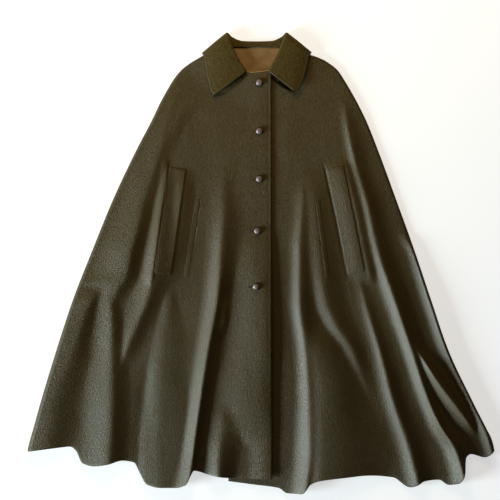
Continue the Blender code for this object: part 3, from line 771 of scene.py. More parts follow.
def named_material(name: str) -> tuple[bpy.types.Material, NodeBoard, bpy.types.Node]:
    """A new material, a board on its tree and its Principled shader.

    Args:
        name: Of the material.

    Returns:
        The material, the board and the shader.
    """
    material = bpy.data.materials.new(name)
    material.use_nodes = True
    board = NodeBoard(material.node_tree)
    return material, board, material.node_tree.nodes["Principled BSDF"]


@dataclass(frozen=True)
class WoolFinish:
    """Milled wool with a nap, or thread spun from it.

    Attributes:
        name: Of the finish.
        dark: Colour of the darkest fibres.
        middle: Colour of most fibres.
        light: Colour of the palest fibres.
        fibre: Fibres per metre, for the finest grain.
        clump: Clumps per metre.
        patch: Broad patches per metre.
        nap: How the grain is squeezed along X, Y and Z; below 1 draws it out.
        melange: How far the fibres differ in colour.
        rough: Least and most roughness.
        specular: Specular level of the nap.
        sheen: Weight of the nap's sheen.
        sheen_tint: Its colour.
        sheen_rough: Its roughness.
        bump: Depth of the nap, in mm.
        grazing: How far a face turns away before the nap hides its shine, and where it has.
        grazing_rough: Roughness there.
    """

    name: str
    dark: RGB
    middle: RGB
    light: RGB
    fibre: float = 800.0
    clump: float = 300.0
    patch: float = 14.0
    nap: RGB = (1.0, 0.5, 1.0)
    melange: float = 1.0
    rough: tuple[float, float] = (0.4, 0.55)
    specular: float = 0.5
    sheen: float = 0.0
    sheen_tint: RGB = (0.85, 0.92, 0.95)
    sheen_rough: float = 0.45
    bump: float = 1.7
    grazing: tuple[float, float] = (0.45, 0.8)
    grazing_rough: float = 0.95

    def material(self, group: bpy.types.NodeTree) -> bpy.types.Material:
        """Builds the material.

        Args:
            group: The fibre node group.

        Returns:
            The material.
        """
        material, board, shader = named_material(self.name)
        place = board.add("ShaderNodeMapping", {"Vector": board.place(), "Scale": self.nap})
        fibres = board.add("ShaderNodeGroup", node_tree=group)
        board.feed(fibres, {
            "Place": place.outputs[0],
            "Fibre": self.fibre, "Clump": self.clump, "Patch": self.patch,
            "Dark": (*self.dark, 1), "Middle": (*self.middle, 1), "Light": (*self.light, 1),
            "Melange": self.melange, "Rough Low": self.rough[0], "Rough High": self.rough[1],
        })
        grain = fibres.outputs
        facing = board.add("ShaderNodeLayerWeight", {"Blend": 0.5}).outputs["Facing"]
        board.feed(shader, {
            "Base Color": grain["Colour"],
            "Roughness": board.spread(
                facing, *self.grazing, grain["Roughness"], self.grazing_rough),
            "Normal": board.bump(grain["Height"], self.bump),
            "Specular IOR Level": self.specular,
            "Sheen Weight": self.sheen,
            "Sheen Roughness": self.sheen_rough,
            "Sheen Tint": (*self.sheen_tint, 1),
        })
        return material


@dataclass(frozen=True)
class SatinFinish:
    """Woven lining satin with fine ribs.

    Attributes:
        name: Of the finish.
        dark: Colour of its hollows.
        light: Colour of its ribs.
        ribs: Per metre.
        turn: How far the ribs run off the garment's length, in radians.
        draw: How the pattern is squeezed along X, Y and Z, which draws the ribs out.
        cloudy: Broad patches per metre.
        rib_share: Of the ribs in the pattern; patches are the rest.
        change: The pattern's values at the dark and the light colour.
        roughness: Least and most roughness.
        relief: Depth of the ribs, in mm.
        anisotropy: Of its shine.
        sheen: Weight of its sheen.
    """

    name: str = "lining_satin"
    dark: RGB = (0.12, 0.068, 0.022)
    light: RGB = (0.19, 0.115, 0.042)
    ribs: float = 2600.0
    turn: float = 0.6
    draw: RGB = (1.0, 0.05, 1.0)
    cloudy: float = 60.0
    rib_share: float = 0.45
    change: tuple[float, float] = (0.38, 0.62)
    roughness: tuple[float, float] = (0.42, 0.55)
    relief: float = 0.12
    anisotropy: float = 0.4
    sheen: float = 0.15

    def material(self) -> bpy.types.Material:
        """Builds the material.

        Returns:
            The material.
        """
        material, board, shader = named_material(self.name)
        place = board.place()
        turned = board.add("ShaderNodeMapping", {
            "Vector": place, "Rotation": (0, 0, self.turn), "Scale": self.draw}).outputs[0]
        ribs = board.noise(turned, self.ribs, detail=2.0, roughness=0.6)
        cloud = board.noise(place, self.cloudy, detail=4.0, roughness=0.6)
        weave = board.blend(ribs, cloud, self.rib_share)
        share = board.spread(weave, *self.change)
        board.feed(shader, {
            "Base Color": board.mix(share, (*self.dark, 1), (*self.light, 1)),
            "Roughness": board.spread(cloud, *NOISE, *self.roughness),
            "Normal": board.bump(weave, self.relief),
            "Anisotropic": self.anisotropy,
            "Sheen Weight": self.sheen,
        })
        return material


@dataclass(frozen=True)
class HornFinish:
    """Polished button: cast metal with a horn-like cast, with painted shade that darkens it
    towards its rim.

    Attributes:
        name: Of the finish.
        dark: Colour of its cast.
        light: Colour where it is worn bright.
        painted_rim_shade: Colour of the painted shade at its rim, where its underside would fall
            in shadow.
        metallic: How far it is metal.
        cloudy: Patches of wear per metre.
        grain: Of the casting, per metre.
        wear: The patches' values at the dark and the light colour.
        rim: Shares of the radius between which it turns to the painted shade at its rim.
        roughness: Where it is dark and where it is worn.
        relief: Depth of the casting's grain, in mm.
    """

    name: str = "button_bronze"
    dark: RGB = (0.10, 0.066, 0.056)
    light: RGB = (0.34, 0.25, 0.23)
    painted_rim_shade: RGB = (0.018, 0.012, 0.009)
    metallic: float = 0.6
    cloudy: float = 420.0
    grain: float = 2600.0
    wear: tuple[float, float] = (0.3, 0.62)
    rim: tuple[float, float] = (0.68, 0.93)
    roughness: tuple[float, float] = (0.56, 0.42)
    relief: float = 0.05

    def material(self) -> bpy.types.Material:
        """Builds the material.

        Returns:
            The material.
        """
        material, board, shader = named_material(self.name)
        place = board.place()
        cloud = board.noise(place, self.cloudy, detail=4.0, roughness=0.6)
        fine = board.noise(place, self.grain, detail=2.0, roughness=0.5)
        wear_and_rim_shade = board.mix(board.spread(cloud, *self.wear), (*self.dark, 1), (*self.light, 1))
        # painted shade: the share of the radius darkens the button towards its rim
        rim = board.add("ShaderNodeAttribute", attribute_name="rim").outputs["Fac"]
        board.feed(shader, {
            "Base Color": board.mix(board.spread(rim, *self.rim), wear_and_rim_shade, (*self.painted_rim_shade, 1)),
            "Roughness": board.spread(cloud, *NOISE, *self.roughness),
            "Normal": board.bump(fine, self.relief),
            "Metallic": self.metallic,
        })
        return material


@dataclass(frozen=True)
class Finishes:
    """Every material of the garment."""

    loden: bpy.types.Material
    collar: bpy.types.Material
    facing: bpy.types.Material
    satin: bpy.types.Material
    button: bpy.types.Material
    thread: bpy.types.Material


def make_finishes() -> Finishes:
    """Builds the materials of the garment.

    Returns:
        The finishes.
    """
    fibres = fibre_group()
    dark, middle, light = (0.034, 0.0205, 0.0026), (0.045, 0.028, 0.0038), (0.061, 0.042, 0.008)
    return Finishes(
        loden=WoolFinish("loden", dark, middle, light).material(fibres),
        collar=WoolFinish(
            "loden_collar", dark, (0.045, 0.031, 0.0075), (0.065, 0.050, 0.015), patch=22.0,
            specular=0.18,
        ).material(fibres),
        facing=WoolFinish(
            "facing", (0.11, 0.075, 0.032), (0.24, 0.175, 0.09), (0.32, 0.25, 0.14),
            nap=(1, 1, 1), bump=0.2,
        ).material(fibres),
        satin=SatinFinish().material(),
        button=HornFinish().material(),
        thread=WoolFinish(
            "sewing_thread", (0.022, 0.016, 0.005), (0.05, 0.038, 0.014), (0.085, 0.07, 0.03),
            fibre=4000.0, clump=1200.0, nap=(1, 1, 1), bump=0.1, sheen=0.1,
        ).material(fibres),
    )


# -------------------------------------------------------------------- thread
def stitch_tree() -> bpy.types.NodeTree:
    """Geometry nodes that lay a stitch at equal steps along each line of a mesh.

    Returns:
        The node tree.
    """
    tree = bpy.data.node_groups.new("stitches", "GeometryNodeTree")
    face = tree.interface
    face.new_socket("Geometry", in_out="INPUT", socket_type="NodeSocketGeometry")
    for label in ("Pitch", "Length", "Thickness", "Unevenness"):
        face.new_socket(label, in_out="INPUT", socket_type=FLOAT)
    face.new_socket("Seed", in_out="INPUT", socket_type="NodeSocketInt")
    face.new_socket("Thread", in_out="INPUT", socket_type="NodeSocketMaterial")
    face.new_socket("Geometry", in_out="OUTPUT", socket_type="NodeSocketGeometry")
    board = NodeBoard(tree)
    given = board.add("NodeGroupInput").outputs
    curve = board.add("GeometryNodeMeshToCurve", {"Mesh": given["Geometry"]}).outputs[0]
    spots = board.add("GeometryNodeCurveToPoints", {"Curve": curve, "Length": given["Pitch"]},
                      mode="LENGTH")
    turn = board.add("FunctionNodeAlignRotationToVector", {"Vector": spots.outputs["Tangent"]},
                     axis="X")
    ball = board.add("GeometryNodeMeshUVSphere", {"Segments": 8, "Rings": 5, "Radius": 0.5})
    size = board.add("ShaderNodeCombineXYZ", {
        0: given["Length"], 1: given["Thickness"], 2: given["Thickness"]})
    shaped = board.add("GeometryNodeTransform", {
        "Geometry": ball.outputs[0], "Scale": size.outputs[0]})
    low = board.maths("SUBTRACT", 1.0, given["Unevenness"])
    high = board.maths("ADD", 1.0, given["Unevenness"])
    vary = board.add("FunctionNodeRandomValue", data_type="FLOAT")
    for key, value in (("Min", low), ("Max", high), ("Seed", given["Seed"])):
        socket = next(s for s in vary.inputs if s.name == key and s.enabled)
        tree.links.new(value, socket)
    vary_out = next(s for s in vary.outputs if s.enabled)
    laid = board.add("GeometryNodeInstanceOnPoints", {
        "Points": spots.outputs["Points"], "Instance": shaped.outputs[0],
        "Rotation": turn.outputs[0], "Scale": vary_out})
    real = board.add("GeometryNodeRealizeInstances", {"Geometry": laid.outputs[0]})
    dressed = board.add("GeometryNodeSetMaterial", {
        "Geometry": real.outputs[0], "Material": given["Thread"]})
    board.add("NodeGroupOutput", {0: dressed.outputs[0]})
    return tree


@dataclass(frozen=True)
class StitchRun:
    """Rows of one kind of stitch.

    Attributes:
        name: The piece's name.
        pitch: From stitch to stitch, in mm.
        length: Of a stitch, in mm.
        thickness: Of the thread, in mm.
        seed: Fixes the uneven lengths.
        unevenness: How far the stitches vary, as a share of their size.
    """

    name: str
    pitch: float = 3.2
    length: float = 2.5
    thickness: float = 0.55
    seed: int = 3
    unevenness: float = 0.12

    def sew(self, lines: Sequence[np.ndarray], tree: bpy.types.NodeTree,
            thread: bpy.types.Material) -> bpy.types.Object:
        """Sews along the lines.

        Args:
            lines: Each an array of points in mm.
            tree: The stitch node tree.
            thread: The thread's finish.

        Returns:
            All the stitches as one plain mesh.
        """
        verts = np.concatenate(lines)
        edges, start = [], 0
        for line in lines:
            edges += [(start + k, start + k + 1) for k in range(len(line) - 1)]
            start += len(line)
        mesh = bpy.data.meshes.new(self.name)
        mesh.from_pydata((verts * MM).tolist(), edges, [])
        piece = bpy.data.objects.new(self.name, mesh)
        bpy.context.scene.collection.objects.link(piece)
        sewn = piece.modifiers.new("stitches", "NODES")
        sewn.node_group = tree
        values = {
            "Pitch": self.pitch * MM, "Length": self.length * MM,
            "Thickness": self.thickness * MM, "Unevenness": self.unevenness,
            "Seed": self.seed, "Thread": thread,
        }
        for item in tree.interface.items_tree:
            if item.in_out == "INPUT" and item.name in values:
                sewn[item.identifier] = values[item.name]
        apply_modifiers(piece)
        piece.data.shade_smooth()
        return piece


# ------------------------------------------------------------------ garment pieces
def finish_piece(piece: bpy.types.Object,
                 nodes: Sequence[str] = ()) -> bpy.types.Object:
    """Rides a piece on the garment, hides the CAD parts that it replaces and logs its faces.

    Args:
        piece: The finished piece.
        nodes: The CAD nodes that it replaces.

    Returns:
        The piece.
    """
    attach(piece, "root")
    if nodes:
        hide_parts(*nodes)
    LOG.info("%s: %d faces", piece.name, len(piece.data.polygons))
    return piece


@dataclass(frozen=True)
class Strip:
    """A straight strip on a front.

    Attributes:
        top: Middle of its top end, in mm.
        bottom: Middle of its bottom end.
        width: Across it.
        free: +1 where its free edge is to the right, -1 to the left.
    """

    top: Point
    bottom: Point
    width: float
    free: int

    def way(self) -> tuple[np.ndarray, np.ndarray, float]:
        """How the strip runs.

        Returns:
            The direction down it, the direction across it to the right, and its length.
        """
        run = np.subtract(self.bottom, self.top)
        length = float(np.hypot(*run))
        down = run / length
        return down, np.array([-down[1], down[0]]), length

    def place(self, across: np.ndarray, down: np.ndarray) -> tuple[np.ndarray, np.ndarray]:
        """Plan points on the strip.

        Args:
            across: How far to the right of its middle line, in mm.
            down: How far down from its top, in mm.

        Returns:
            The places' x and y, in mm.
        """
        way_down, way_across, _ = self.way()
        x = self.top[0] + across * way_across[0] + down * way_down[0]
        y = self.top[1] + across * way_across[1] + down * way_down[1]
        return x, y


@dataclass(frozen=True)
class ArmWelt:
    """The folded welt that is sewn along one edge over an arm slit.

    Attributes:
        side: The front that it is on.
        strip: Where it lies.
        wall: Its thickness, in mm.
        lift: How far its free edge stands off half way down.
        crown: How far its middle stands over its edges.
        lifted: How far on the seam's side of its middle the lift starts, and over what width
            it grows, as shares of its half width.
        sewn_dip: How far the seam presses its sewn edge down.
        sewn_band: Where that dip starts and over what width it grows, as shares as well.
        end_dip: How far its ends are pressed down.
        end_run: Over what length.
        thread_in: From its ends, and from its sewn edge, to the thread.
        thread_rise: From its face to the middle of a stitch.
        slit_out: From its middle line to the slit, towards its free edge.
        slit_short: How much shorter than the welt the slit is.
        slit_width: Across the slit.
        columns: Points across.
        rows: Points down.
    """

    side: Side
    strip: Strip
    wall: float
    lift: float
    crown: float
    lifted: tuple[float, float] = (0.2, 1.2)
    sewn_dip: float = 1.4
    sewn_band: tuple[float, float] = (0.82, 0.18)
    end_dip: float = 1.2
    end_run: float = 7.0
    thread_in: tuple[float, float] = (4.5, 4.0)
    thread_rise: float = 0.25
    slit_out: float = 13.0
    slit_short: float = 20.0
    slit_width: float = 3.0
    columns: int = 26
    rows: int = 110

    def build(self, surface: FrontSurface, finishes: Finishes) -> bpy.types.Object:
        """Makes the welt on the surface of its front.

        Args:
            surface: The outer face of its front.
            finishes: The garment's finishes.

        Returns:
            The piece.
        """
        _, _, length = self.strip.way()
        half = self.strip.width / 2
        inset = self.wall / 2
        across = np.linspace(-half + inset, half - inset, self.columns)
        down = np.linspace(inset, length - inset, self.rows)
        a, d = np.meshgrid(across, down)
        x, y = self.strip.place(a, d)
        share = self.strip.free * a / half
        belly = np.sin(math.pi * d / length)
        crown = self.crown * (1 - share**2)
        start, span = self.lifted
        free_edge = self.lift * smoothstep((share + start) / span) ** 2 * belly
        start, span = self.sewn_band
        sewn_edge = -self.sewn_dip * smoothstep((-share - start) / span)
        ends = -self.end_dip * smoothstep(1 - np.minimum(d, length - d) / self.end_run)
        gap = SEAM_GAP + self.wall + crown + free_edge + sewn_edge + ends
        grid = surface.above(x, y, gap)
        name = f"arm_welt_{self.side.value}_cloth"
        piece = shell(name, grid, self.wall, finishes.loden)
        finish_piece(piece, [f"arm_welt_{self.side.value}"])
        return piece

    def stitch_lines(self, surface: FrontSurface) -> list[np.ndarray]:
        """Lines of thread: along the sewn edge and across both ends.

        Args:
            surface: The outer face of its front.

        Returns:
            The lines, in mm.
        """
        _, _, length = self.strip.way()
        half = self.strip.width / 2
        lines = []
        top = SEAM_GAP + self.wall + self.thread_rise
        end_in, seam_in = self.thread_in
        corner_in, bow = 3.0, 0.4  # where the end rows stop, and their rise over the crown
        a = np.linspace(-half + corner_in, half - corner_in, 30)
        for d in (end_in, length - end_in):
            x, y = self.strip.place(a, np.full_like(a, d))
            lines.append(surface.above(x, y, top + bow * (1 - (a / half) ** 2)))
        d = np.linspace(end_in, length - end_in, 120)
        edge = np.full_like(d, -self.strip.free * (half - seam_in))
        x, y = self.strip.place(edge, d)
        lines.append(surface.above(x, y, np.full_like(d, top)))
        return lines

    def slit(self) -> np.ndarray:
        """Outline of the arm slit under the welt.

        Returns:
            Its points in plan, in mm.
        """
        down, across, length = self.strip.way()
        out = self.strip.free * self.slit_out
        middle = np.add(self.strip.top, down * length / 2) + across * out
        return capsule(tuple(middle), tuple(down), length - self.slit_short, self.slit_width)


@dataclass(frozen=True)
class PocketLip:
    """The narrow folded lip of a slit pocket.

    Attributes:
        side: The front that it is on.
        strip: Where it lies.
        wall: Its thickness, in mm.
        inset: How far its points stay inside its outline, for the round of its rim, and how
            far outside it the mouth lies.
        sewn_band: How far past its middle it starts to flatten towards its seam, and over
            what width, as shares of its half width.
        bed: How far its swell starts off the cloth, in mm.
        rise: How far it swells everywhere, and besides where it is loose, as shares of its
            wall.
        gape: Share of the mouth, from the top, that stands open.
        mouth_short: How much shorter than that share the opening is, in mm.
        mouth_width: Across the opening.
        columns: Points across.
        rows: Points down.
    """

    side: Side
    strip: Strip
    wall: float = 0.8
    inset: float = 0.4
    sewn_band: tuple[float, float] = (0.2, 0.8)
    bed: float = 0.05
    rise: tuple[float, float] = (0.1, 0.5)
    gape: float = 0.6
    mouth_short: float = 8.0
    mouth_width: float = 1.1
    columns: int = 14
    rows: int = 90

    def build(self, surface: FrontSurface, finishes: Finishes) -> bpy.types.Object:
        """Makes the lip on the surface of its front.

        Args:
            surface: The outer face of its front.
            finishes: The garment's finishes.

        Returns:
            The piece.
        """
        _, _, length = self.strip.way()
        half = self.strip.width / 2
        across = np.linspace(-half + self.inset, half - self.inset, self.columns)
        a, d = np.meshgrid(across, np.linspace(self.inset, length - self.inset, self.rows))
        x, y = self.strip.place(a, d)
        share = self.strip.free * a / half
        start, span = self.sewn_band
        loose = 1 - smoothstep((-share - start) / span)
        gap = self.bed + self.wall * (self.rise[0] + self.rise[1] * loose) * (1 - share**4)
        name = f"pocket_lip_{self.side.value}"
        piece = shell(name, surface.above(x, y, gap), self.wall, finishes.loden)
        finish_piece(piece, [f"pocket_welt_{self.side.value}"])
        return piece

    def slit(self) -> np.ndarray:
        """Outline of the pocket's mouth, beside the lip's free edge.

        Returns:
            Its points in plan, in mm.
        """
        down, across, length = self.strip.way()
        reach = self.strip.free * (self.strip.width / 2 + self.inset)
        middle = np.add(self.strip.top, down * length * self.gape / 2) + across * reach
        open_length = length * self.gape - self.mouth_short
        return capsule(tuple(middle), tuple(down), open_length, self.mouth_width)

    def tack_lines(self, surface: FrontSurface) -> list[np.ndarray]:
        """Bar tacks across both ends of the pocket.

        Args:
            surface: The outer face of its front.

        Returns:
            The lines, in mm.
        """
        _, _, length = self.strip.way()
        half = self.strip.width / 2 - 1
        end_in, rise = 2.0, self.wall + 0.6
        a = np.linspace(-half, half, 12)
        lines = []
        for d in (end_in, length - end_in):
            x, y = self.strip.place(a, np.full_like(a, d))
            lines.append(surface.above(x, y, np.full_like(a, rise)))
        return lines


@dataclass(frozen=True)
class Button:
    """A domed button on a shank.

    Attributes:
        number: From the neck down.
        x: Of its middle, in mm.
        y: Of its middle.
        radius: Of its rim.
        rim: Height of the rim.
        roll: Radius of the rim's rolled edge.
        dome: How far its middle stands above the rim.
        shank: Radius of the shank's foot.
        eye: Radius of the buttonhole's eye round the shank.
        hole_length: Of the buttonhole.
        past: How far the buttonhole reaches past the shank, to the edge.
        sewn_rows: Widths of the two rings of thread round it.
        around: Points round it.
    """

    number: int
    x: float
    y: float
    radius: float = 9.5
    rim: float = 2.0
    roll: float = 0.9
    dome: float = 4.6
    shank: float = 1.3
    eye: float = 1.8
    hole_length: float = 22.0
    past: float = 4.0
    sewn_rows: tuple[float, float] = (2.6, 4.2)
    around: int = 48

    def profile(self, foot: float, seat: float) -> list[Point]:
        """Half section from the top of the dome to the shank's foot.

        Args:
            foot: Height of the shank's foot, in mm.
            seat: Height of the rim's foot.

        Returns:
            Its radii and heights, in mm.
        """
        inner, top, roll = self.radius - self.roll, seat + self.rim, self.roll
        points = [(0.0, top + self.dome)]
        for angle in np.linspace(0, math.pi / 2, 15)[1:].tolist():
            points.append((inner * math.sin(angle), top + self.dome * math.cos(angle)))
        for angle in np.linspace(math.pi / 2, -math.pi / 2, 7).tolist():  # the rolled rim
            points.append((inner + roll * math.cos(angle), top - roll + roll * math.sin(angle)))
        points += [(self.radius - 2.2, seat + 0.1), (2.0, seat), (1.5, seat - 0.4)]
        return points + [(self.shank, foot), (0.0, foot)]

    def build(self, over: FrontSurface, under: FrontSurface,
              finishes: Finishes) -> bpy.types.Object:
        """Turns the button where it sits on the right front.

        Args:
            over: The outer face of the right front.
            under: The outer face of the left front, which carries it.
            finishes: The garment's finishes.

        Returns:
            The piece.
        """
        turn = np.linspace(0, 2 * math.pi, 12, endpoint=False)
        rim_x, rim_y = self.x + self.radius * np.cos(turn), self.y + self.radius * np.sin(turn)
        seat = float(over.above(rim_x, rim_y, np.zeros(12))[:, 2].max()) + SEAM_GAP
        here = (np.array([self.x]), np.array([self.y]))
        foot = float(under.above(*here, np.zeros(1))[0, 2]) + SEAM_GAP
        profile = self.profile(foot, seat)
        around = self.around
        verts = [(self.x, self.y, profile[0][1])]
        for r, z in profile[1:-1]:
            for k in range(around):
                angle = 2 * math.pi * k / around
                verts.append((self.x + r * math.cos(angle), self.y + r * math.sin(angle), z))
        verts.append((self.x, self.y, profile[-1][1]))
        faces, rings = [], len(profile) - 2
        for k in range(around):
            after = (k + 1) % around
            faces.append([0, 1 + k, 1 + after])
            last = 1 + (rings - 1) * around
            faces.append([last + after, last + k, len(verts) - 1])
            for ring in range(rings - 1):
                a, b = 1 + ring * around, 1 + (ring + 1) * around
                faces.append([a + k, b + k, b + after, a + after])
        piece = new_object(f"button_{self.number}_dome", np.array(verts), faces, finishes.button)
        # share of the radius at each point, which paints shade on the button towards its rim
        wear_and_rim_shade = piece.data.attributes.new("rim", "FLOAT", "POINT")
        wear_and_rim_shade.data.foreach_set("value", [
            math.hypot(x - self.x, y - self.y) / self.radius for x, y, _ in verts])
        return finish_piece(piece, [f"button_{self.number}"])

    def hole(self) -> np.ndarray:
        """Outline of its keyhole-shaped buttonhole in the right front.

        Returns:
            Its points in plan, in mm.
        """
        points = []
        for angle in np.radians(np.linspace(-160, 160, 13)).tolist():  # the eye, open to the left
            points.append((
                self.x + self.eye * math.cos(angle), self.y + self.eye * math.sin(angle)))
        end, half = self.x - 17, 0.35  # where the slot ends, and half its width
        return np.array(points + [(end, self.y + half), (end, self.y - half)])

    def hole_stitches(self, over: FrontSurface) -> list[np.ndarray]:
        """Two close rows of thread round the buttonhole.

        Args:
            over: The outer face of the right front.

        Returns:
            The lines, in mm.
        """
        lines = []
        for reach in self.sewn_rows:
            middle = (self.x + self.past - self.hole_length / 2, self.y)
            line = capsule(middle, (1, 0), self.hole_length + reach, reach)
            line = np.concatenate([line, line[:1]])
            share = np.linspace(0, 1, 60)
            knots = np.linspace(0, 1, len(line))
            x, y = (np.interp(share, knots, line[:, k]) for k in (0, 1))
            lines.append(over.above(x, y, np.full_like(x, THREAD_TOP)))
        return lines


@dataclass(frozen=True)
class FrontPanel:
    """One front of the cape.

    Attributes:
        side: Which front.
        surface: Its outer face.
        neck: Its neck edge, as points.
        hem: Its hem, as points.
        edge_hem_x: Where its button edge meets the hem.
        flat: Width and length of its cut, in metres; not used.
        area: Of the cut, in square metres; not used.
        columns: Points across.
        rows: Points down.
        crowding: Power that crowds the rows towards the neck.
    """

    side: Side
    surface: FrontSurface
    neck: tuple[Point, ...]
    hem: tuple[Point, ...]
    edge_hem_x: float
    flat: tuple[float, float]
    area: float
    columns: int = 170
    rows: int = 200
    crowding: float = 1.15

    def edge(self) -> list[Point]:
        """The straight button edge from the neck to the hem.

        Returns:
            Its two ends, in mm.
        """
        corner = self.neck[-1] if self.side is Side.RIGHT else self.neck[0]
        end = float(height_at(np.array([self.edge_hem_x]), self.hem)[0])
        return [corner, (self.edge_hem_x, end)]

    def hem_line(self, share: np.ndarray) -> np.ndarray:
        """Plan points along the hem from left to right."""
        x = self.hem[0][0] + share * (self.hem[-1][0] - self.hem[0][0])
        return np.stack([x, height_at(x, self.hem)], axis=-1)

    def grid(self) -> np.ndarray:
        """Points of the outer face.

        Returns:
            Rows down and columns across, in mm.
        """
        seam = side_line(1 if self.side is Side.RIGHT else 2)
        left, right = (seam, self.edge()) if self.side is Side.RIGHT else (self.edge(), seam)

        def hem_points(share: np.ndarray) -> np.ndarray:
            """Points of the outer face along the hem."""
            line = self.hem_line(share)
            return self.surface.points(line[:, 0], line[:, 1])

        plan = patch(
            even_columns(self.columns, hem_points),
            np.linspace(0, 1, self.rows) ** self.crowding,
            {
                "top": lambda s: along(self.neck, s), "bottom": self.hem_line,
                "left": lambda s: along(left, s), "right": lambda s: along(right, s),
            },
        )
        return self.surface.points(plan[..., 0], plan[..., 1])

    def build(self, finishes: Finishes, slits: Sequence[np.ndarray]) -> bpy.types.Object:
        """Makes the front with its slits cut.

        Args:
            finishes: The garment's finishes.
            slits: Outlines of the holes in plan, in mm.

        Returns:
            The piece.
        """
        name = f"front_{self.side.value}_cloth"
        piece = shell(name, self.grid(), CLOTH, finishes.loden)
        cut_slits(piece, slits)
        finish_piece(piece, [f"front_{self.side.value}"])
        return piece


@dataclass(frozen=True)
class BackPanel:
    """The back, flat on the surface and lifted at the neck by the collar under it.

    Attributes:
        columns: Points across.
        rows: Points down.
        crowding: Power that crowds the rows towards the neck.
        flat: Width and length of its cut, in metres; not used.
        area: Of the cut, in square metres; not used.
    """

    columns: int = 110
    rows: int = 110
    crowding: float = 1.2
    flat: tuple[float, float] = (1.19, 1.18)
    area: float = 0.82

    def grid(self) -> np.ndarray:
        """Points of its upper face.

        Returns:
            Rows down and columns across, in mm.
        """
        plan = patch(
            np.linspace(0, 1, self.columns), np.linspace(0, 1, self.rows) ** self.crowding,
            {
                "top": lambda s: along(BACK_NECK, s), "bottom": lambda s: along(BACK_HEM, s),
                "left": lambda s: along(side_line(1), s),
                "right": lambda s: along(side_line(2), s),
            },
        )
        z = neck_lift(plan[..., 0], plan[..., 1]) + BACK_TOP
        return np.concatenate([plan, z[..., None]], axis=-1)

    def build(self, finishes: Finishes) -> bpy.types.Object:
        """Makes the back.

        Args:
            finishes: The garment's finishes.

        Returns:
            The piece.
        """
        piece = shell("back_cloth", self.grid(), CLOTH, finishes.loden)
        finish_piece(piece, ["back"])
        return piece


@dataclass(frozen=True)
class NeckLining:
    """The satin that shows inside the neck opening.

    Attributes:
        top_half: Half its width at the back neck, in mm.
        low_half: Half its width at its lower edge.
        low_y: Where that edge is.
        flat: Width and length of its cut, in metres; not used.
        steps: Points across, and down.
    """

    top_half: float = 60.0
    low_half: float = 52.0
    low_y: float = 420.0
    flat: tuple[float, float] = (0.12, 0.12)
    steps: int = 60

    def build(self, finishes: Finishes) -> bpy.types.Object:
        """Makes the lining with its soft drag lines.

        Args:
            finishes: The garment's finishes.

        Returns:
            The piece.
        """
        u, v = np.meshgrid(np.linspace(-1, 1, self.steps), np.linspace(0, 1, self.steps))
        half = self.top_half + (self.low_half - self.top_half) * v
        x = NECK_X + u * half
        y = (1 - v) * (height_at(x, BACK_NECK) - 0.5) + v * self.low_y
        soft = sum(ripple.at(x, y) for ripple in LINING_RIPPLES)
        z = neck_lift(x, y) + BACK_TOP + SEAM_GAP + LINING + soft
        piece = shell("neck_lining_satin", np.stack([x, y, z], axis=-1), LINING, finishes.satin)
        finish_piece(piece, ["back_lining"])
        return piece


@dataclass(frozen=True)
class NeckPiping:
    """The bound edge of the facing along the right front's neckline, between the leaves.

    Attributes:
        left: Where it starts, x in mm.
        right: Where it ends.
        radius: Of its round section.
        steps: Points along it.
        around: Points round the section.
    """

    left: float = -50.0
    right: float = 23.0
    radius: float = 1.1
    steps: int = 60
    around: int = 12

    def build(self, over: FrontSurface, finishes: Finishes) -> bpy.types.Object:
        """Makes the piping just outside the cloth's cut edge.

        Args:
            over: The outer face of the right front.
            finishes: The garment's finishes.

        Returns:
            The piece.
        """
        x = np.linspace(self.left, self.right, self.steps)
        y = height_at(x, OVER_NECK)
        z = over.above(x, y - 2, np.zeros_like(x))[..., 2] - CLOTH / 2
        line = np.stack([x, y + self.radius + SEAM_GAP, z], axis=-1)
        angle = np.linspace(0, 2 * math.pi, self.around, endpoint=False)
        way = np.gradient(line[:, :2], axis=0)
        way /= np.linalg.norm(way, axis=-1, keepdims=True)
        side = np.stack([-way[:, 1], way[:, 0], np.zeros(len(x))], axis=-1)
        ring = side[:, None] * np.cos(angle)[None, :, None]
        ring = ring + np.array([0, 0, 1]) * np.sin(angle)[None, :, None]
        verts = (line[:, None] + ring * self.radius).reshape(-1, 3)
        index = np.arange(len(verts)).reshape(len(x), self.around)
        after = np.roll(index, -1, axis=1)
        sides = np.stack([index[:-1], after[:-1], after[1:], index[1:]], -1).reshape(-1, 4)
        faces = sides.tolist() + [index[0][::-1].tolist(), index[-1].tolist()]
        return finish_piece(new_object("neck_piping", verts, faces, finishes.facing))


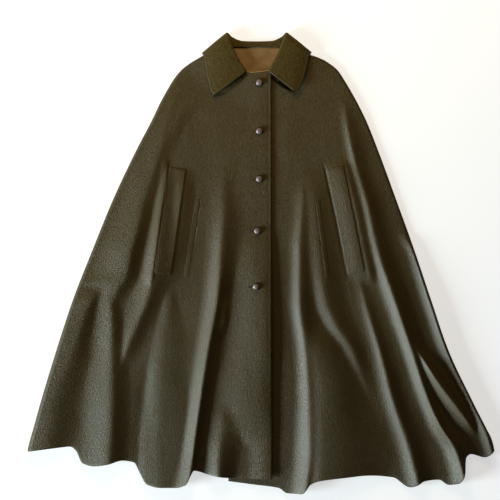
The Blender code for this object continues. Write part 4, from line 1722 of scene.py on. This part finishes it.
@dataclass(frozen=True)
class Collar:
    """The collar: one wall round the neck that folds over the shoulders and under the back.

    Attributes:
        rows: Sections from the right leaf to the left: the way the fall faces (0 up, 90
            out, 180 down), the x and y of the neck seam, the roll and the outer edge, and
            their offsets from the axis, in mm.
        axis: Height about which the collar turns, in mm.
        corner: Radius of a leaf's corner.
        crown: How far the fall bows up half way to its edge.
        seam: From the outer edge to the thread.
        groove: Depth and width of the groove that the thread pulls in.
        puff: Height and width of the edge's swell.
        puff_in: From the outer edge to the swell.
        stand: Shares of the stand at which it has points, between its seam and the roll.
        packing: Power that packs points towards the outer edge.
        ease_in: Share by which sections crowd towards the leaves' front ends.
        flat: Width and length of its cut, in metres; not used.
        area: Of the cut, in square metres; not used.
        arc_steps: Steps round the roll.
        fall_steps: Steps down the fall.
        sections: Along the collar.
    """

    rows: tuple[tuple[float, ...], ...] = (
        (0, -42, 474, -37, 479, -119, 417, 7.8, 13.4, 13.5),
        (0, -73, 511, -61, 516, -134, 474, 7.8, 14.4, 9.5),
        (0, -81, 541, -79, 562, -140, 513, 5.6, 12.6, 6.6),
        (90, -80, 543, -78, 568, -142, 519, 3.0, 10.0, 6.9),
        (180, -76, 541, -74, 565, -139, 517, 0.0, 7.0, 6.9),
        (180, -44, 541, -46, 554, -60, 482, -1.0, 6.9, 6.9),
        (180, -10, 543, -10, 553, -10, 472, -1.0, 6.9, 6.9),
        (180, 24, 541, 26, 554, 40, 482, -1.0, 6.9, 6.9),
        (180, 55, 541, 53, 565, 118, 518, 0.0, 7.0, 6.9),
        (90, 59, 543, 57, 568, 121, 521, 3.0, 10.0, 6.9),
        (0, 60, 541, 58, 562, 119, 515, 4.8, 11.8, 6.2),
        (0, 51, 512, 41, 521, 111, 480, 6.8, 13.2, 7.6),
        (0, 25, 475, 19, 480, 91, 424, 7.8, 13.4, 12.5),
    )
    axis: float = 8.8
    corner: float = 15.0
    crown: float = 2.6
    seam: float = 6.0
    groove: tuple[float, float] = (0.3, 1.4)
    puff: tuple[float, float] = (0.12, 2.0)
    puff_in: float = 3.0
    stand: tuple[float, float] = (0.35, 0.7)
    packing: float = 1.4
    ease_in: float = 0.25
    flat: tuple[float, float] = (0.47, 0.115)
    area: float = 0.047
    arc_steps: int = 12
    fall_steps: int = 34
    sections: int = 230

    def section(self, row: Sequence[float], reach: float, trim: float) -> list[Vector]:
        """Points of one section from the neck seam over the roll to the outer edge.

        Args:
            row: A row of the table, or one between rows.
            reach: Share of the fall that is left at a rounded corner.
            trim: Distance from the collar's front end, in mm, for its stitched groove.

        Returns:
            The points.
        """
        turn = math.radians(row[0])
        neck, roll, edge = (Vector((row[k], row[k + 1], self.axis)) for k in (1, 3, 5))
        inward = (roll - edge).normalized()
        outward = Vector((-inward.y, inward.x, 0))
        if outward.x * (roll.x - NECK_X) < 0:
            outward = -outward
        facing = Vector((0, 0, math.cos(turn))) + outward * math.sin(turn)
        radius = (row[8] - row[7]) / 2
        centre = roll - inward * radius + facing * (row[7] + radius)
        points = [neck + facing * row[7]]
        points += [points[0].lerp(centre - facing * radius, share) for share in self.stand]
        for k in range(self.arc_steps + 1):
            angle = math.pi * k / self.arc_steps
            points.append(centre + (inward * math.sin(angle) - facing * math.cos(angle)) * radius)
        start, end = points[-1], edge + facing * row[9]
        fall = (end - start).length * reach
        up = max(0.0, math.cos(turn))
        for k in range(1, self.fall_steps + 1):
            share = reach * (1 - (1 - k / self.fall_steps) ** self.packing)
            to_edge = fall - (end - start).length * share
            puff = 0.0
            for gap in (to_edge, trim):
                puff -= bell(gap - self.seam, *self.groove)
                puff += bell(gap - self.puff_in, *self.puff)
            bow = self.crown * 4 * share * (1 - share)
            points.append(start.lerp(end, share) + facing * up * (bow + puff))
        return points

    def grid(self) -> np.ndarray:
        """Sections from the right front round the back to the left front.

        Returns:
            A row of points for each section, in mm.
        """
        last = len(self.rows) - 1
        spread = np.linspace(0, 1, self.sections)
        eased = 0.5 - 0.5 * np.cos(math.pi * spread)
        at = last * eased * self.ease_in + last * spread * (1 - self.ease_in)
        table = np.array(self.rows, float)
        columns = np.stack([monotone(at, range(last + 1), table[:, k]) for k in range(10)], 1)
        grid = []
        for station, row in zip(at, columns):
            end = table[0] if station < last / 2 else table[-1]
            length = math.hypot(end[5] - end[3], end[6] - end[4])
            from_end = math.hypot(row[5] - end[5], row[6] - end[6])
            short = max(0.0, self.corner - from_end)
            cut = self.corner - math.sqrt(self.corner**2 - short**2)
            grid.append(self.section(row, 1 - cut / length, from_end))
        return np.array(grid, float)

    def build(self, finishes: Finishes) -> bpy.types.Object:
        """Makes the collar.

        Args:
            finishes: The garment's finishes.

        Returns:
            The piece.
        """
        piece = shell("collar_cloth", self.grid(), COLLAR, finishes.collar, middle=True)
        finish_piece(piece, ["collar"])
        return piece

    def stitch_lines(self) -> list[np.ndarray]:
        """Lines of thread a seam's width inside the edges of both leaves.

        Returns:
            The lines, in mm.
        """
        grid = self.grid()
        normal = grid_normals(grid)
        face = grid + normal * (COLLAR / 2 + 0.05)
        lines = []
        reach = self.sections // 3
        for leaf in (face[:reach], face[-reach:][::-1]):
            from_end = np.linalg.norm(leaf[:, -1, :2] - leaf[0, -1, :2], axis=-1)
            ring = []
            for section in leaf[from_end >= self.seam]:
                away = np.linalg.norm(section - section[-1], axis=-1)
                ring.append(section[int(np.argmin(np.abs(away - self.seam)))])
            near = leaf[from_end < self.seam * 1.3][-1]
            across = near[len(self.stand) + self.arc_steps + 2:]  # clear of the roll
            keep = np.linalg.norm(across - near[-1], axis=-1) > self.seam
            lines.append(np.concatenate([across[keep], np.array(ring[1:])]))
        return lines


# ---------------------------------------------------------------------- the studio
@dataclass(frozen=True)
class Lamp:
    """A soft square light.

    Attributes:
        name: Of the light.
        place: In metres.
        aim: The point that it faces.
        size: Of its side, in metres.
        power: In watts.
        colour: Of its light.
        shines: Whether it shows as a highlight, besides lighting the cloth.
    """

    name: str
    place: RGB
    aim: RGB
    size: float
    power: float
    colour: RGB
    shines: bool = True

    def build(self) -> None:
        """Hangs the light."""
        data = bpy.data.lights.new(self.name, "AREA")
        data.shape, data.size = "SQUARE", self.size
        data.energy, data.color = self.power, self.colour
        lamp = bpy.data.objects.new(self.name, data)
        lamp.location = self.place
        way = Vector(self.aim) - Vector(self.place)
        lamp.rotation_euler = way.to_track_quat("-Z", "Y").to_euler()
        lamp.visible_glossy = self.shines
        bpy.context.scene.collection.objects.link(lamp)


@dataclass(frozen=True)
class Studio:
    """The pale floor, the soft lights and the camera above the garment.

    Attributes:
        middle: The point under the camera.
        view: Side of the square that it frames, in metres.
        distance: Of the camera from the floor.
        sensor: Width of its sensor, in mm.
        lamps: The soft lights.
        sky: Colour of the light from all sides.
        sky_strength: Its strength.
        floor_grey: Brightness of the floor's colour, and of its glow towards the camera.
        floor_half: Half the floor's width, in mm.
        floor_z: Its height.
    """

    middle: Point = (-0.0275, 0.0325)
    view: float = 1.25
    distance: float = 6.0
    sensor: float = 36.0
    lamps: tuple[Lamp, ...] = (
        Lamp("window", (-4.4, -1.6, 1.3), (0.0, -0.1, 0.0), 1.8, 590.0, (0.77, 0.94, 0.99)),
        Lamp("ceiling", (-0.25, 1.6, 0.9), (0.0, 0.2, 0.0), 0.8, 26.0, (1.0, 0.8, 0.5), False),
    )
    sky: RGB = (1.0, 0.98, 0.95)
    sky_strength: float = 0.06
    floor_grey: tuple[float, float] = (0.45, 0.6)
    floor_half: float = 8000.0
    floor_z: float = -0.05

    def floor(self) -> None:
        """Lays the pale floor just under the garment."""
        material, board, shader = named_material("pale_floor")
        grey, glow = self.floor_grey
        seen = board.add("ShaderNodeLightPath").outputs["Is Camera Ray"]
        board.feed(shader, {
            "Base Color": (grey, grey, grey, 1),
            "Emission Color": (1, 1, 1, 1),
            "Emission Strength": board.maths("MULTIPLY", seen, glow),
            "Roughness": 0.95,
            "Specular IOR Level": 0.1,
        })
        corners = [(x * self.floor_half, y * self.floor_half, self.floor_z)
                   for x, y in ((-1, -1), (1, -1), (1, 1), (-1, 1))]
        new_object("floor", np.array(corners), [[0, 1, 2, 3]], material, False)

    def build(self) -> None:
        """Sets up the floor, lights, sky and camera."""
        self.floor()
        for lamp in self.lamps:
            lamp.build()
        world = bpy.data.worlds.new("studio_sky")
        world.use_nodes = True
        sky = world.node_tree.nodes["Background"]
        sky.inputs[0].default_value = (*self.sky, 1)
        sky.inputs[1].default_value = self.sky_strength
        bpy.context.scene.world = world
        bpy.context.scene.view_settings.view_transform = "Standard"
        data = bpy.data.cameras.new("camera")
        data.sensor_width = self.sensor
        data.lens = self.sensor * self.distance / self.view
        data.clip_end = 50.0
        camera = bpy.data.objects.new("camera", data)
        camera.location = (*self.middle, self.distance + 0.01)
        bpy.context.scene.collection.objects.link(camera)
        bpy.context.scene.camera = camera


# ---------------------------------------------------------------------------- main
def main() -> None:
    """Builds the garment and the studio."""
    logging.basicConfig(level=logging.INFO, format="%(message)s")
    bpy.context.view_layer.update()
    finishes = make_finishes()
    stitches = stitch_tree()
    over = FrontSurface(OVER_TOP, OVER_FOLDS, OVER_DETAILS, OVER_RIPPLES, OVER_STILL_X)
    under = FrontSurface(UNDER_TOP, UNDER_FOLDS, UNDER_DETAILS, UNDER_RIPPLES, UNDER_STILL_X)
    buttons = [Button(number, x, y) for number, (x, y) in enumerate(BUTTON_PLACES, 1)]
    welts = [
        ArmWelt(Side.RIGHT, Strip((-209, 238), (-247, -29), 43, 1), wall=1.6, lift=0.9,
                crown=0.3),
        ArmWelt(Side.LEFT, Strip((186, 242), (240, -25), 43, -1), wall=1.0, lift=0.1,
                crown=0.6),
    ]
    lips = [
        PocketLip(Side.RIGHT, Strip((-158, 159), (-187, -35), 13, 1)),
        PocketLip(Side.LEFT, Strip((142, 155), (168, -37), 13, -1)),
    ]
    surfaces = {Side.RIGHT: over, Side.LEFT: under}
    BackPanel().build(finishes)
    FrontPanel(
        Side.LEFT, under, UNDER_NECK, UNDER_HEM, UNDER_EDGE_HEM_X, (0.80, 1.19), 0.505,
    ).build(finishes, [welts[1].slit(), lips[1].slit()])
    FrontPanel(
        Side.RIGHT, over, OVER_NECK, OVER_HEM, OVER_EDGE_HEM_X, (0.73, 1.16), 0.475,
    ).build(finishes, [welts[0].slit(), lips[0].slit(), *(button.hole() for button in buttons)])
    NeckLining().build(finishes)
    NeckPiping().build(over, finishes)
    collar = Collar()
    collar.build(finishes)
    lines = collar.stitch_lines()
    for welt in welts:
        welt.build(surfaces[welt.side], finishes)
        lines += welt.stitch_lines(surfaces[welt.side])
    tacks = []
    for lip in lips:
        lip.build(surfaces[lip.side], finishes)
        tacks += lip.tack_lines(surfaces[lip.side])
    for button in buttons:
        button.build(over, under, finishes)
        tacks += button.hole_stitches(over)
    y = np.linspace(*FRONT_STITCH_ENDS, 400)
    x = np.interp(y, *zip(*FRONT_STITCH))
    lines.append(over.above(x, y, np.full_like(y, THREAD_TOP)))
    finish_piece(StitchRun("edge_stitching").sew(lines, stitches, finishes.thread))
    close = StitchRun("buttonhole_stitching", 1.0, 1.5, 0.6, 4)
    finish_piece(close.sew(tacks, stitches, finishes.thread))
    Studio().build()


if __name__ == "__main__":
    main()
